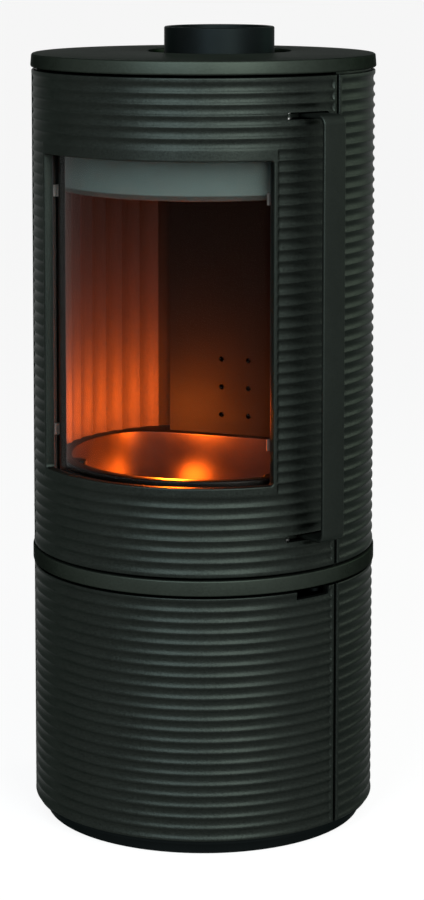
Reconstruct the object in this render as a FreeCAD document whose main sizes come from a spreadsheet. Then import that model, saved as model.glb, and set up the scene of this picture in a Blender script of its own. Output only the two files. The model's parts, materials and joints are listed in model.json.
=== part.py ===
import FreeCAD, Part
import math
import os
import Sketcher

from FreeCAD import Placement, Rotation, Vector

# A round cast iron stove. The origin is the floor point under the middle of the plinth, +Z is up and the
# doors face -Y. Angles round the body are counted from the front, positive towards +X.

SIZES = (
    ("body_radius", 230, "crest radius of the fluted castings"),
    ("casting_wall", 11, "casting thickness at the crests"),
    ("seam_gap", 3.2, "shadow gap between castings and plates"),
    ("plinth_height", 16.4, "plinth tray"),
    ("plinth_inset", 16, "plinth set back from the crests"),
    ("plinth_wall", 8, "plinth wall"),
    ("plinth_floor", 4, "plinth floor"),
    ("base_thickness", 4, "base plate"),
    ("base_inset", 3.5, "base plate set back from the crests"),
    ("lower_height", 320.6, "lower fluted casting"),
    ("mid_thickness", 20.2, "plate between the two castings"),
    ("upper_height", 639.4, "upper fluted casting"),
    ("top_thickness", 18, "top plate"),
    ("plate_overhang", 1.5, "plates standing proud of the crests"),
    ("top_draft", 1.5, "top plate edge drawing in towards its top"),
    ("plate_edge", 2, "bevel on the plates' edges"),
    ("lip_thickness", 5, "lip that seats a fixed casting on a plate"),
    ("door_half_angle", 69, "doors, each side of the front"),
    ("door_seam", 5.5, "seam between door and fixed casting, along the crests"),
    ("panel_seam", 1.2, "seam between two fixed castings"),
    ("flute_pitch", 14.3, "flute spacing"),
    ("flute_width", 13.3, "flute width at the crests"),
    ("flute_depth", 2.6, "flute depth"),
    ("flute_edge", 11, "flute end centre to casting edge"),
    ("upper_flutes", 44, "flutes on the upper casting"),
    ("lower_flutes", 22, "flutes on the lower casting"),
    ("window_half_angle", 43.8, "window, each side of the front"),
    ("window_sill", 116.4, "window above the door's lower edge"),
    ("window_height", 417, "window"),
    ("window_border", 5, "flat border round the window"),
    ("hinge_inset", 8, "hinge axis inside the crests"),
    ("hinge_edge", 9, "hinge axis to door edge"),
    ("hinge_pin_radius", 3.5, "door hinge pins"),
    ("hinge_pin_seat", 18, "hinge pin in the door"),
    ("hinge_pin_reach", 8, "hinge pin in a plate"),
    ("hinge_boss_radius", 8, "boss round a hinge pin"),
    ("hinge_boss_height", 24, "boss round a hinge pin"),
    ("running_clearance", 0.06, "radial clearance of pins that turn"),
    ("seat_gap", 0.05, "pieces seated on a curved face"),
    ("small_gap", 0.4, "clearance between pieces that move past each other"),
    ("shell_radius", 200, "firebox shell, outside"),
    ("shell_wall", 3, "firebox shell wall"),
    ("shell_top_gap", 10, "firebox shell below the top plate"),
    ("mouth_half_angle", 46.6, "firebox mouth, each side of the front"),
    ("mouth_margin", 6, "firebox mouth past the window, above and below"),
    ("frame_width_angle", 2.7, "landing frame round the mouth, each side"),
    ("frame_height", 11, "landing frame, above and below the mouth"),
    ("frame_depth", 8.2, "landing frame proud of the shell"),
    ("rope_inset_angle", 0.3, "rope seal inside the landing frame's edges"),
    ("rope_inset", 1, "rope seal inside the landing frame, above and below"),
    ("rope_gap", 0.3, "rope seal clear of the landing frame"),
    ("glass_seal_thickness", 2, "flat seal behind the window"),
    ("glass_thickness", 4, "curved glass"),
    ("glass_overlap_angle", 1, "glass past the window, each side"),
    ("glass_overlap", 4, "glass past the window, above and below"),
    ("clip_height", 15, "glass clips"),
    ("clip_thickness", 2, "glass clips"),
    ("clip_start_angle", 43.3, "clip tongue on the glass"),
    ("clip_end_angle", 46.4, "clip foot on the door"),
    ("clip_level_share", 0.12, "clip position along the window"),
    ("screw_head_radius", 2.4, "clip screws"),
    ("screw_head_height", 1.4, "clip screws"),
    ("handle_angle", 59.5, "handle bar round the body"),
    ("handle_width", 36, "handle strip"),
    ("handle_thickness", 5, "handle strip"),
    ("handle_reach", 37, "handle bar's outer face beyond the crests"),
    ("handle_bend", 8, "handle bends, inside"),
    ("handle_low", 44.4, "lower handle arm above the door's lower edge"),
    ("handle_span", 545, "handle arms, centre to centre"),
    ("slot_start_angle", 48.3, "handle slots in the door"),
    ("slot_end_angle", 65.4, "handle slots in the door"),
    ("slot_height", 9.4, "handle slots in the door"),
    ("shaft_angle", 51.2, "latch shaft round the body"),
    ("shaft_inset", 17.5, "latch shaft inside the crests"),
    ("shaft_radius", 4, "latch shaft"),
    ("shaft_overhang", 9, "latch shaft past the handle arms"),
    ("eye_radius", 6, "handle and hook eyes round the shaft"),
    ("bearing_half_width", 6.8, "latch shaft bearings"),
    ("bearing_height", 16, "latch shaft bearings"),
    ("bearing_offset", 20, "bearing from the handle arm"),
    ("keeper_angle", 64.5, "keeper pin round the body"),
    ("keeper_standoff", 3.2, "keeper pin's axis outside the shell"),
    ("keeper_radius", 2.5, "keeper pin"),
    ("keeper_ear", 4, "keeper ears"),
    ("keeper_gap", 14, "room between the keeper ears"),
    ("keeper_half_width", 5, "keeper ears"),
    ("hook_height", 6, "latch hook"),
    ("hook_thickness", 3.5, "latch hook"),
    ("hook_play", 5.6, "keeper axis to the hook's nose"),
    ("hook_bite", 1.8, "hook's nose past the keeper pin's top"),
    ("flue_radius", 75, "flue collar, outside"),
    ("flue_wall", 6, "flue collar wall"),
    ("flue_back", 61, "flue centre behind the body's axis"),
    ("flue_rise", 33, "flue collar above the top plate"),
    ("flue_flange_radius", 93, "flue collar flange"),
    ("flue_flange", 6, "flue collar flange"),
    ("top_aperture_radius", 97.5, "opening in the top plate"),
    ("bolt_radius", 4, "collar bolts"),
    ("bolt_head_radius", 6.5, "collar bolts"),
    ("bolt_head_height", 5, "collar bolts"),
    ("bolt_circle_radius", 84.5, "collar bolts"),
    ("bolt_angle", 45, "first collar bolt"),
    ("firebox_top_thickness", 5, "firebox top"),
    ("tie_rod_radius", 4, "tie rods"),
    ("tie_rod_angle", 97, "first tie rod from the front"),
    ("tie_rod_step", 50, "second tie rod from the first"),
    ("lining_start_angle", 70, "side lining, front edge"),
    ("lining_end_angle", 139.6, "side lining, rear edge"),
    ("lining_thickness", 6, "side lining"),
    ("lining_gap", 0.3, "lining clear of the shell"),
    ("lining_scallops", 8, "upright scallops in a side lining"),
    ("scallop_radius", 40, "upright scallops"),
    ("scallop_depth", 1.6, "upright scallops"),
    ("rim_level", 118.4, "fire bowl rim above the door's lower edge"),
    ("rim_thickness", 8, "fire bowl rim"),
    ("rim_clearance", 0.5, "fire bowl rim inside the shell"),
    ("bowl_radius", 178, "fire bowl, inside"),
    ("bowl_wall", 8, "fire bowl wall"),
    ("bowl_depth", 92, "fire bowl, inside"),
    ("bowl_back", 112, "fire bowl's flat back behind the axis"),
    ("bowl_lug_radius", 14, "lugs on the bowl's rim"),
    ("bowl_lug_angle", 52, "lugs on the bowl's rim"),
    ("grate_radius", 62, "grate"),
    ("grate_thickness", 5, "grate"),
    ("grate_ledge", 5, "ledge that carries the grate"),
    ("grate_bar", 7, "grate bars"),
    ("grate_slots", 7, "slots in the grate"),
    ("rear_lining_half_width", 98, "rear lining"),
    ("rear_lining_back", 125, "rear lining's face behind the axis"),
    ("rear_lining_thickness", 8, "rear lining"),
    ("jet_radius", 3.75, "air jets in the rear lining"),
    ("jet_spread", 20, "air jets each side of the middle"),
    ("jet_first", 27, "lowest air jets above the rim"),
    ("jet_step", 39.5, "air jets, row to row"),
    ("jet_rows", 3, "rows of air jets"),
    ("duct_half_width", 40, "rear air duct"),
    ("duct_depth", 30, "rear air duct"),
    ("sheet_thickness", 2, "folded sheet pieces"),
    ("lining_height", 444, "linings"),
    ("baffle_thickness", 10, "smoke baffle"),
    ("baffle_radius", 190, "smoke baffle"),
    ("baffle_front", 115, "smoke baffle's front edge before the axis"),
    ("wash_drop", 59, "air wash plate below the mouth's top"),
    ("wash_rise", 18, "air wash plate above the mouth's top"),
    ("wash_half_angle", 48, "air wash plate, each side"),
    ("wash_thickness", 3, "air wash plate"),
    ("wash_lip", 6, "air wash plate's lip"),
    ("ash_hole_radius", 66, "ash hole in the middle plate"),
    ("ash_half_width", 66, "ash housing"),
    ("ash_front", 130, "ash housing before the axis"),
    ("ash_back", 120, "ash housing behind the axis"),
    ("ash_height", 96, "ash housing"),
    ("pan_gap", 3, "ash pan in its housing"),
    ("pan_height", 62, "ash pan"),
    ("valve_pivot_out", 110, "air valve pivot from the axis"),
    ("valve_angle", 59.65, "air valve pivot round the body"),
    ("valve_radius", 26, "air valve disc"),
    ("valve_thickness", 2.6, "air valve disc"),
    ("valve_pin_radius", 4, "air valve pivot pin"),
    ("valve_head_radius", 8, "air valve pivot pin's head"),
    ("valve_head_height", 3, "air valve pivot pin's head"),
    ("port_radius", 6.5, "air ports"),
    ("port_circle", 16, "air ports round the pivot"),
    ("port_count", 3, "air ports"),
    ("lever_rest_angle", 8.5, "air lever at rest from the pivot's radius"),
    ("lever_drop", 6, "air lever below the valve disc, top to top"),
    ("lever_thickness", 4, "air lever"),
    ("lever_half_width", 7, "air lever"),
    ("lever_tip_gap", 0.6, "air lever's tip inside the door"),
    ("notch_start_angle", 52.8, "lever notch in the lower door"),
    ("notch_end_angle", 66.5, "lever notch in the lower door"),
    ("notch_depth", 11, "lever notch in the lower door"),
    ("magnet_angle", 60, "magnet catch round the body"),
    ("magnet_half_width", 11, "magnet catch"),
    ("magnet_depth", 14, "magnet catch"),
    ("magnet_height", 26, "magnet catch"),
    ("strike_thickness", 2, "strike plate on the lower door"),
    ("overrun", 0.3, "cutting shapes past what they cut"),
)

doc = FreeCAD.newDocument("cast_iron_stove")
sheet = doc.addObject("Spreadsheet::Sheet", "Sizes")
pieces = []


class Size:
    """A number together with the spreadsheet formula that gives it."""

    def __init__(self, value, text):
        self.value = value
        self.text = text

    def joined(self, other, sign, value):
        return Size(value, f"({self.text} {sign} {as_size(other).text})")

    def __add__(self, other):
        return self.joined(other, "+", self.value + as_size(other).value)

    def __sub__(self, other):
        return self.joined(other, "-", self.value - as_size(other).value)

    def __mul__(self, other):
        return self.joined(other, "*", self.value * as_size(other).value)

    def __truediv__(self, other):
        return self.joined(other, "/", self.value / as_size(other).value)

    def __neg__(self):
        return Size(-self.value, f"(0 - {self.text})")


def as_size(number):
    return number if isinstance(number, Size) else Size(number, str(number))


def sine(angle):
    return Size(math.sin(math.radians(angle.value)), f"sin({angle.text})")


def cosine(angle):
    return Size(math.cos(math.radians(angle.value)), f"cos({angle.text})")


def arc_angle(length, radius):
    """The angle in degrees that a chord of the given length spans on a circle."""
    value = math.degrees(2 * math.asin(length.value / radius.value / 2))
    return Size(value, f"(2 * asin({length.text} / {radius.text} / 2) / 1 deg)")


def whole(number):
    return Size(math.floor(number.value), f"floor({number.text})")


class Sheet:
    """The driving dimensions, one attribute for each cell."""

    def __init__(self):
        for row, (alias, number, note) in enumerate(SIZES, start=1):
            sheet.set(f"A{row}", note)
            sheet.set(f"B{row}", str(number))
            sheet.setAlias(f"B{row}", alias)
            setattr(self, alias, Size(number, f"Sizes.{alias}"))


s = Sheet()
doc.recompute()

ZERO = Size(0, "0")
HALF_TURN = Size(180, "180")
FULL_TURN = Size(360, "360")
# A sector of a Part::Cylinder starts at +X, a quarter turn past the front.
FRONT = Size(270, "270")

# Levels, from the floor up
lower_base = s.plinth_height + s.base_thickness
lower_top = lower_base + s.lower_height
mid_base = lower_top + s.seam_gap
mid_top = mid_base + s.mid_thickness
upper_base = mid_top + s.seam_gap
upper_top = upper_base + s.upper_height
top_base = upper_top + s.seam_gap
top_face = top_base + s.top_thickness
window_base = upper_base + s.window_sill
window_top = window_base + s.window_height
mouth_base = window_base - s.mouth_margin
mouth_top = window_top + s.mouth_margin
rim_top = upper_base + s.rim_level
rim_base = rim_top - s.rim_thickness
lining_top = rim_top + s.lining_height
shell_top = top_base - s.shell_top_gap
arm_low = upper_base + s.handle_low
arm_high = arm_low + s.handle_span
hook_level = (arm_low + arm_high) / 2

# Radii, from the outside in
inner_radius = s.body_radius - s.casting_wall
seat_radius = inner_radius - s.seat_gap
plate_radius = s.body_radius + s.plate_overhang
hinge_out = s.body_radius - s.hinge_inset
shaft_out = s.body_radius - s.shaft_inset
shell_inner = s.shell_radius - s.shell_wall
frame_radius = s.shell_radius + s.frame_depth
hinge_angle = arc_angle(s.hinge_edge, hinge_out) - s.door_half_angle
casing_angle = s.door_half_angle + arc_angle(s.door_seam, s.body_radius)


def bind(thing, **sizes):
    for name, size in sizes.items():
        thing.setExpression(name, as_size(size).text)


def add(kind, **sizes):
    thing = doc.addObject(kind, kind.split("::")[1].lower())
    bind(thing, **sizes)
    return thing


def place(thing, x=ZERO, y=ZERO, z=ZERO):
    """Put a thing's own origin at a point."""
    for axis, size in (("x", x), ("y", y), ("z", z)):
        thing.setExpression(f"Placement.Base.{axis}", size.text)
    return thing


def turned(thing, angle):
    """Turn a thing about the upright through its own origin, from the front to an angle."""
    thing.setExpression("Placement.Rotation.Angle", (angle + FULL_TURN).text)
    return thing


def disc(radius, base, top, across=ZERO, out=ZERO):
    """An upright cylinder; out is its distance before the body's axis."""
    return place(add("Part::Cylinder", Radius=radius, Height=top - base), across, -out, base)


def block(left, right, inside, outside, base, top):
    """A box at the front, between two distances across and two distances out from the axis."""
    box = add("Part::Box", Length=right - left, Width=outside - inside, Height=top - base)
    return place(box, left, -outside, base)


def pie(radius, base, top, start, end):
    """A sector of an upright cylinder about the body's axis."""
    wedge = add("Part::Cylinder", Radius=radius, Height=top - base, Angle=end - start)
    return turned(place(wedge, z=base), start + FRONT)


def cut(base, *tools):
    result = doc.addObject("Part::Cut", "cut")
    result.Base = base
    result.Tool = tools[0] if len(tools) == 1 else fuse(*tools)
    return result


def fuse(*things):
    result = doc.addObject("Part::MultiFuse", "fuse")
    result.Shapes = list(things)
    return result


def common(*things):
    result = doc.addObject("Part::MultiCommon", "common")
    result.Shapes = list(things)
    result.Refine = False
    return result


def group(*things):
    """Separate solids that share one node."""
    result = doc.addObject("Part::Compound", "group")
    result.Links = list(things)
    return result


def ring(inside, outside, base, top):
    return cut(disc(outside, base, top), disc(inside, base - s.overrun, top + s.overrun))


def sector(inside, outside, base, top, start, end):
    """A curved plate about the body's axis."""
    hollow = disc(inside, base - s.overrun, top + s.overrun)
    return cut(pie(outside, base, top, start, end), hollow)


def piece(label, thing):
    thing.Label = label
    pieces.append(thing)
    return thing


def upright_sketch(body, angle):
    """A sketch on the upright plane at an angle round the body: x runs out from the axis, y up."""
    plane = [part for part in body.Origin.OriginFeatures if part.Role == "XZ_Plane"][0]
    sketch = body.newObject("Sketcher::SketchObject", "profile")
    sketch.AttachmentSupport = [(plane, "")]
    sketch.MapMode = "FlatFace"
    turn = angle + FRONT
    sketch.AttachmentOffset = Placement(Vector(), Rotation(Vector(0, 1, 0), turn.value))
    bind(sketch, **{"AttachmentOffset.Rotation.Angle": turn})
    return sketch


def pin_point(sketch, edge, end, x, y):
    """Fix one end of a sketch edge at sizes from the sketch's origin."""
    for kind, size in (("DistanceX", x), ("DistanceY", y)):
        index = sketch.addConstraint(Sketcher.Constraint(kind, -1, 1, edge, end, size.value))
        sketch.setExpression(f"Constraints[{index}]", size.text)


def polygon(sketch, points):
    """A closed outline through points given as pairs of sizes."""
    corners = [Vector(x.value, y.value, 0) for x, y in points]
    for index, corner in enumerate(corners):
        sketch.addGeometry(Part.LineSegment(corner, corners[(index + 1) % len(corners)]))
    for index, (x, y) in enumerate(points):
        follower = (index + 1) % len(points)
        sketch.addConstraint(Sketcher.Constraint("Coincident", index, 2, follower, 1))
        pin_point(sketch, index, 1, x, y)


def rectangle(inside, outside, base, top):
    return (inside, base), (outside, base), (outside, top), (inside, top)


def revolved(body, kind, angle, sweep, points):
    """Sweep an outline round the body's axis, evenly to both sides of an angle."""
    sketch = upright_sketch(body, angle)
    polygon(sketch, points)
    feature = body.newObject(kind, "sweep")
    feature.Profile = sketch
    feature.ReferenceAxis = (sketch, ["V_Axis"])
    feature.Midplane = True
    feature.Refine = False
    bind(feature, Angle=sweep)
    return feature


# A flute is an arc in section; its centre lies outside the crests.
flute_half = s.flute_width / 2
flute_radius = (flute_half * flute_half + s.flute_depth * s.flute_depth) / (s.flute_depth * 2)
flute_centre = s.body_radius - s.flute_depth + flute_radius
flute_edge_angle = arc_angle(s.flute_edge, s.body_radius)


def flute_section(sketch, level):
    """The flute's round section, closed by a chord just outside the crests."""
    reach = flute_radius.value - s.flute_depth.value - s.overrun.value
    spread = math.acos(reach / flute_radius.value)
    circle = Part.Circle(Vector(flute_centre.value, level.value, 0), Vector(0, 0, 1), flute_radius.value)
    arc = Part.ArcOfCircle(circle, math.pi - spread, math.pi + spread)
    sketch.addGeometry(arc)
    sketch.addGeometry(Part.LineSegment(arc.EndPoint, arc.StartPoint))
    sketch.addConstraint(Sketcher.Constraint("Coincident", 0, 2, 1, 1))
    sketch.addConstraint(Sketcher.Constraint("Coincident", 1, 2, 0, 1))
    sketch.addConstraint(Sketcher.Constraint("Vertical", 1))
    pin_point(sketch, 0, 3, flute_centre, level)
    radius = sketch.addConstraint(Sketcher.Constraint("Radius", 0, flute_radius.value))
    sketch.setExpression(f"Constraints[{radius}]", flute_radius.text)
    chord = s.body_radius + s.overrun
    line = sketch.addConstraint(Sketcher.Constraint("DistanceX", -1, 1, 1, 1, chord.value))
    sketch.setExpression(f"Constraints[{line}]", chord.text)


def half_flute_section(sketch, level):
    """Half of the flute's section above its own axis, to be spun into the flute's round end."""
    reach = flute_radius.value - s.flute_depth.value - s.overrun.value
    spread = math.acos(reach / flute_radius.value)
    circle = Part.Circle(Vector(flute_centre.value, level.value, 0), Vector(0, 0, 1), flute_radius.value)
    arc = Part.ArcOfCircle(circle, math.pi - spread, math.pi)
    chord = s.body_radius + s.overrun
    foot = Vector(chord.value, level.value, 0)
    sketch.addGeometry(arc)
    sketch.addGeometry(Part.LineSegment(arc.EndPoint, foot))
    sketch.addGeometry(Part.LineSegment(foot, arc.StartPoint))
    for first, second in ((0, 1), (1, 2), (2, 0)):
        sketch.addConstraint(Sketcher.Constraint("Coincident", first, 2, second, 1))
    sketch.addConstraint(Sketcher.Constraint("Horizontal", 1))
    sketch.addConstraint(Sketcher.Constraint("Vertical", 2))
    pin_point(sketch, 0, 3, flute_centre, level)
    pin_point(sketch, 1, 2, chord, level)
    radius = sketch.addConstraint(Sketcher.Constraint("Radius", 0, flute_radius.value))
    sketch.setExpression(f"Constraints[{radius}]", flute_radius.text)


def flutes(body, first, count, start, end):
    """A column of level flutes between two angles, each with round ends."""
    run = upright_sketch(body, (start + end) / 2)
    flute_section(run, first)
    trough = body.newObject("PartDesign::Groove", "trough")
    trough.Profile = run
    trough.ReferenceAxis = (run, ["V_Axis"])
    trough.Midplane = True
    trough.Refine = False
    bind(trough, Angle=end - start)
    cuts = [trough]
    for angle in (start, end):
        sketch = upright_sketch(body, angle)
        half_flute_section(sketch, first)
        scoop = body.newObject("PartDesign::Groove", "scoop")
        scoop.Profile = sketch
        scoop.ReferenceAxis = (sketch, ["Edge2"])
        scoop.Midplane = True
        scoop.Refine = False
        bind(scoop, Angle=FULL_TURN)
        cuts.append(scoop)
    column = body.newObject("PartDesign::LinearPattern", "column")
    column.Originals = cuts
    column.Direction = (run, ["V_Axis"])
    column.Mode = "Spacing"
    column.Refine = False
    bind(column, Offset=s.flute_pitch, Occurrences=count)
    body.Tip = column


def first_flute(base, height, count):
    """The lowest flute's level, with the column centred on its casting."""
    return base + (height - (count - 1) * s.flute_pitch) / 2


def obround_pocket(body, level):
    """A level slot with round ends through the door, for a handle arm."""
    middle = (s.slot_start_angle + s.slot_end_angle) / 2
    half = s.body_radius * sine((s.slot_end_angle - s.slot_start_angle) / 2) - s.slot_height / 2
    plane = [part for part in body.Origin.OriginFeatures if part.Role == "XZ_Plane"][0]
    sketch = body.newObject("Sketcher::SketchObject", "slot")
    sketch.AttachmentSupport = [(plane, "")]
    sketch.MapMode = "FlatFace"
    sketch.AttachmentOffset = Placement(Vector(), Rotation(Vector(0, 1, 0), middle.value))
    bind(sketch, **{"AttachmentOffset.Rotation.Angle": middle})
    radius = s.slot_height / 2
    for side, start in ((half, -math.pi / 2), (-half, math.pi / 2)):
        circle = Part.Circle(Vector(side.value, level.value, 0), Vector(0, 0, 1), radius.value)
        sketch.addGeometry(Part.ArcOfCircle(circle, start, start + math.pi))
    right, left = sketch.Geometry
    sketch.addGeometry(Part.LineSegment(right.EndPoint, left.StartPoint))
    sketch.addGeometry(Part.LineSegment(left.EndPoint, right.StartPoint))
    for first, end, second, start in ((0, 2, 2, 1), (2, 2, 1, 1), (1, 2, 3, 1), (3, 2, 0, 1)):
        sketch.addConstraint(Sketcher.Constraint("Tangent", first, end, second, start))
    pin_point(sketch, 0, 3, half, level)
    pin_point(sketch, 1, 3, -half, level)
    size = sketch.addConstraint(Sketcher.Constraint("Radius", 0, radius.value))
    sketch.setExpression(f"Constraints[{size}]", radius.text)
    slot = body.newObject("PartDesign::Pocket", "slot")
    slot.Profile = sketch
    slot.Reversed = True
    slot.Refine = False
    bind(slot, Length=s.body_radius + s.casting_wall)


def plate_body(radius, base, top, draft=ZERO):
    """A round plate with bevelled edges, drawn in by a draft towards its top."""
    body = doc.addObject("PartDesign::Body", "plate_body")
    edge = s.plate_edge
    outline = [
        (ZERO, base),
        (radius - edge, base),
        (radius, base + edge),
        (radius - draft, top - edge),
        (radius - draft - edge, top),
        (ZERO, top),
    ]
    revolved(body, "PartDesign::Revolution", ZERO, FULL_TURN, outline)
    return body


def crest_points(first, count):
    """Points up the outside, one on each crest, that give every row of the casting its own face."""
    half = s.flute_pitch / 2
    rows = range(int(count.value) - 1)
    return [(s.body_radius, first + s.flute_pitch * row + half) for row in rows]


def door_body(base, top, first, count):
    """A door: a sector of the body, before its flutes are cut."""
    body = doc.addObject("PartDesign::Body", "door_body")
    outline = [
        (inner_radius, base),
        (s.body_radius, base),
        *crest_points(first, count),
        (s.body_radius, top),
        (inner_radius, top),
    ]
    revolved(body, "PartDesign::Revolution", ZERO, s.door_half_angle * 2, outline)
    return body


def casing_body(foot, base, height, count):
    """A fluted casting round the back, seated on the plates by lips inside the shadow gaps."""
    body = doc.addObject("PartDesign::Body", "casing_body")
    top = base + height
    lip_radius = inner_radius + s.lip_thickness
    first = first_flute(base, height, count)
    outline = [
        (inner_radius, foot),
        (lip_radius, foot),
        (lip_radius, base),
        (s.body_radius, base),
        *crest_points(first, count),
        (s.body_radius, top),
        (lip_radius, top),
        (lip_radius, top + s.seam_gap),
        (inner_radius, top + s.seam_gap),
    ]
    if foot is base:
        del outline[1:3]
    revolved(body, "PartDesign::Revolution", HALF_TURN, FULL_TURN - casing_angle * 2, outline)
    edge = casing_angle + flute_edge_angle
    flutes(body, first, count, edge, FULL_TURN - edge)
    return body


def split_casing(floor, casing, foot, top):
    """Part a casing into three castings by upright seams at the back."""
    step = (FULL_TURN - casing_angle * 2) / 3
    half_seam = arc_angle(s.panel_seam, s.body_radius) / 2
    first = casing_angle + step
    second = first + step
    spans = {
        "right": (s.door_half_angle, first - half_seam),
        "rear": (first + half_seam, second - half_seam),
        "left": (second + half_seam, FULL_TURN - s.door_half_angle),
    }
    for side, (start, end) in spans.items():
        slice_of_body = pie(plate_radius, foot - s.overrun, top + s.overrun, start, end)
        piece(f"{floor}_{side}_casing", common(casing, slice_of_body))


def hung(body, base, top):
    """Give a door its bosses and the holes for its hinge pins."""
    bosses = []
    for low, high in ((base, base + s.hinge_boss_height), (top - s.hinge_boss_height, top)):
        boss = polar_disc(s.hinge_boss_radius, low, high, hinge_out, hinge_angle)
        bosses.append(common(boss, disc(inner_radius + s.lip_thickness, low, high)))
    seats = ((base - s.overrun, base + s.hinge_pin_seat), (top - s.hinge_pin_seat, top + s.overrun))
    holes = [hinge_pin(low, high) for low, high in seats]
    return cut(fuse(body, *bosses), *holes)


def hinge_pins(base, top):
    """The two pins of a door, half in the door and half in the plates."""
    reach = s.seam_gap + s.hinge_pin_reach
    spans = ((base - reach, base + s.hinge_pin_seat), (top - s.hinge_pin_seat, top + reach))
    return group(*[hinge_pin(low, high) for low, high in spans])


def hinge_pin(base, top):
    return polar_disc(s.hinge_pin_radius, base, top, hinge_out, hinge_angle)


def polar_disc(radius, base, top, out, angle):
    """An upright cylinder at a distance from the axis and an angle round the body."""
    rod = add("Part::Cylinder", Radius=radius, Height=top - base)
    return place(rod, out * sine(angle), -(out * cosine(angle)), base)


def hinge_bore(base, top):
    return polar_disc(s.hinge_pin_radius + s.running_clearance, base, top, hinge_out, hinge_angle)


def sides(start, end):
    """The same span of angles on the right and on the left."""
    return (start, end), (-end, -start)


def make_base():
    outer = s.body_radius - s.plinth_inset
    hollow = disc(outer - s.plinth_wall, s.plinth_floor, s.plinth_height + s.overrun)
    piece("plinth", cut(disc(outer, ZERO, s.plinth_height), hollow))
    plate = disc(s.body_radius - s.base_inset, s.plinth_height, lower_base)
    bore = hinge_bore(s.plinth_height - s.overrun, lower_base + s.overrun)
    piece("base_plate", cut(plate, bore))


def tie_rods(base, top):
    """Four rods between two plates, in the space behind the castings."""
    out = (inner_radius + s.shell_radius) / 2
    rods = []
    for angle in (s.tie_rod_angle, s.tie_rod_angle + s.tie_rod_step):
        for side in (angle, -angle):
            rods.append(polar_disc(s.tie_rod_radius, base, top, out, side))
    return group(*rods)


def make_lower_body():
    casing = casing_body(lower_base, lower_base, s.lower_height, s.lower_flutes)
    split_casing("lower", casing, lower_base, mid_base)
    piece("lower_tie_rods", tie_rods(lower_base, mid_base))
    gap = s.seat_gap + s.strike_thickness + s.small_gap
    magnet = block(-s.magnet_half_width, s.magnet_half_width, inner_radius - gap - s.magnet_depth,
                   inner_radius - gap, lower_base, lower_base + s.magnet_height)
    round_face = disc(inner_radius - gap, lower_base, lower_base + s.magnet_height)
    piece("magnet_catch", turned(common(magnet, round_face), s.magnet_angle))


def make_lower_door():
    base = lower_base + s.small_gap
    first = first_flute(lower_base, s.lower_height, s.lower_flutes)
    body = door_body(base, lower_top, first, s.lower_flutes)
    notch_middle = (s.notch_start_angle + s.notch_end_angle) / 2
    notch = rectangle(inner_radius - s.overrun, s.body_radius + s.overrun,
                      lower_top - s.notch_depth, lower_top + s.overrun)
    revolved(body, "PartDesign::Groove", notch_middle, s.notch_end_angle - s.notch_start_angle, notch)
    edge = s.door_half_angle - flute_edge_angle
    flutes(body, first, s.lower_flutes, -edge, edge)
    piece("lower_door_casting", hung(body, base, lower_top))
    reach = s.seam_gap + s.hinge_pin_reach
    low_pin = hinge_pin(s.plinth_height, base + s.hinge_pin_seat)
    high_pin = hinge_pin(lower_top - s.hinge_pin_seat, lower_top + reach)
    piece("lower_door_pins", group(low_pin, high_pin))
    half = arc_angle(s.magnet_half_width, inner_radius)
    strike = sector(seat_radius - s.strike_thickness, seat_radius, base, lower_base + s.magnet_height,
                    s.magnet_angle - half, s.magnet_angle + half)
    piece("strike_plate", strike)


def port_ring(base, top):
    """The air ports round the valve's pivot."""
    ports = []
    for step in range(int(s.port_count.value)):
        angle = FULL_TURN * step / s.port_count
        x = s.port_circle * sine(angle)
        y = s.valve_pivot_out + s.port_circle * cosine(angle)
        ports.append(disc(s.port_radius, base, top, x, y))
    return ports


def make_mid_plate():
    plate = plate_body(plate_radius, mid_base, mid_top)
    below = mid_base - s.overrun
    above = mid_top + s.overrun
    pivot = disc(s.valve_pin_radius, below, above, out=s.valve_pivot_out)
    valve_holes = turned(fuse(pivot, *port_ring(below, above)), s.valve_angle)
    tools = [
        disc(s.ash_hole_radius, below, above),
        hinge_bore(below, mid_base + s.hinge_pin_reach + s.small_gap),
        hinge_bore(mid_top - s.hinge_pin_reach - s.small_gap, above),
        valve_holes,
    ]
    piece("mid_plate", cut(plate, *tools))
    half = s.ash_half_width
    floor = mid_base - s.ash_height
    outside = block(-half, half, -s.ash_back, s.ash_front, floor, mid_base)
    thin = s.sheet_thickness
    inside = block(-half + thin, half - thin, -s.ash_back + thin, s.ash_front + s.overrun,
                   floor + thin, mid_base + s.overrun)
    piece("ash_housing", cut(outside, inside))
    pan_side = half - thin - s.pan_gap
    pan_base = floor + thin
    pan_top = pan_base + s.pan_height
    pan_back = -s.ash_back + thin + s.pan_gap
    pan = block(-pan_side, pan_side, pan_back, s.ash_front, pan_base, pan_top)
    hollow = block(-pan_side + thin, pan_side - thin, pan_back + thin, s.ash_front - thin,
                   pan_base + thin, pan_top + s.overrun)
    piece("ash_pan", cut(pan, hollow))


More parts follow.
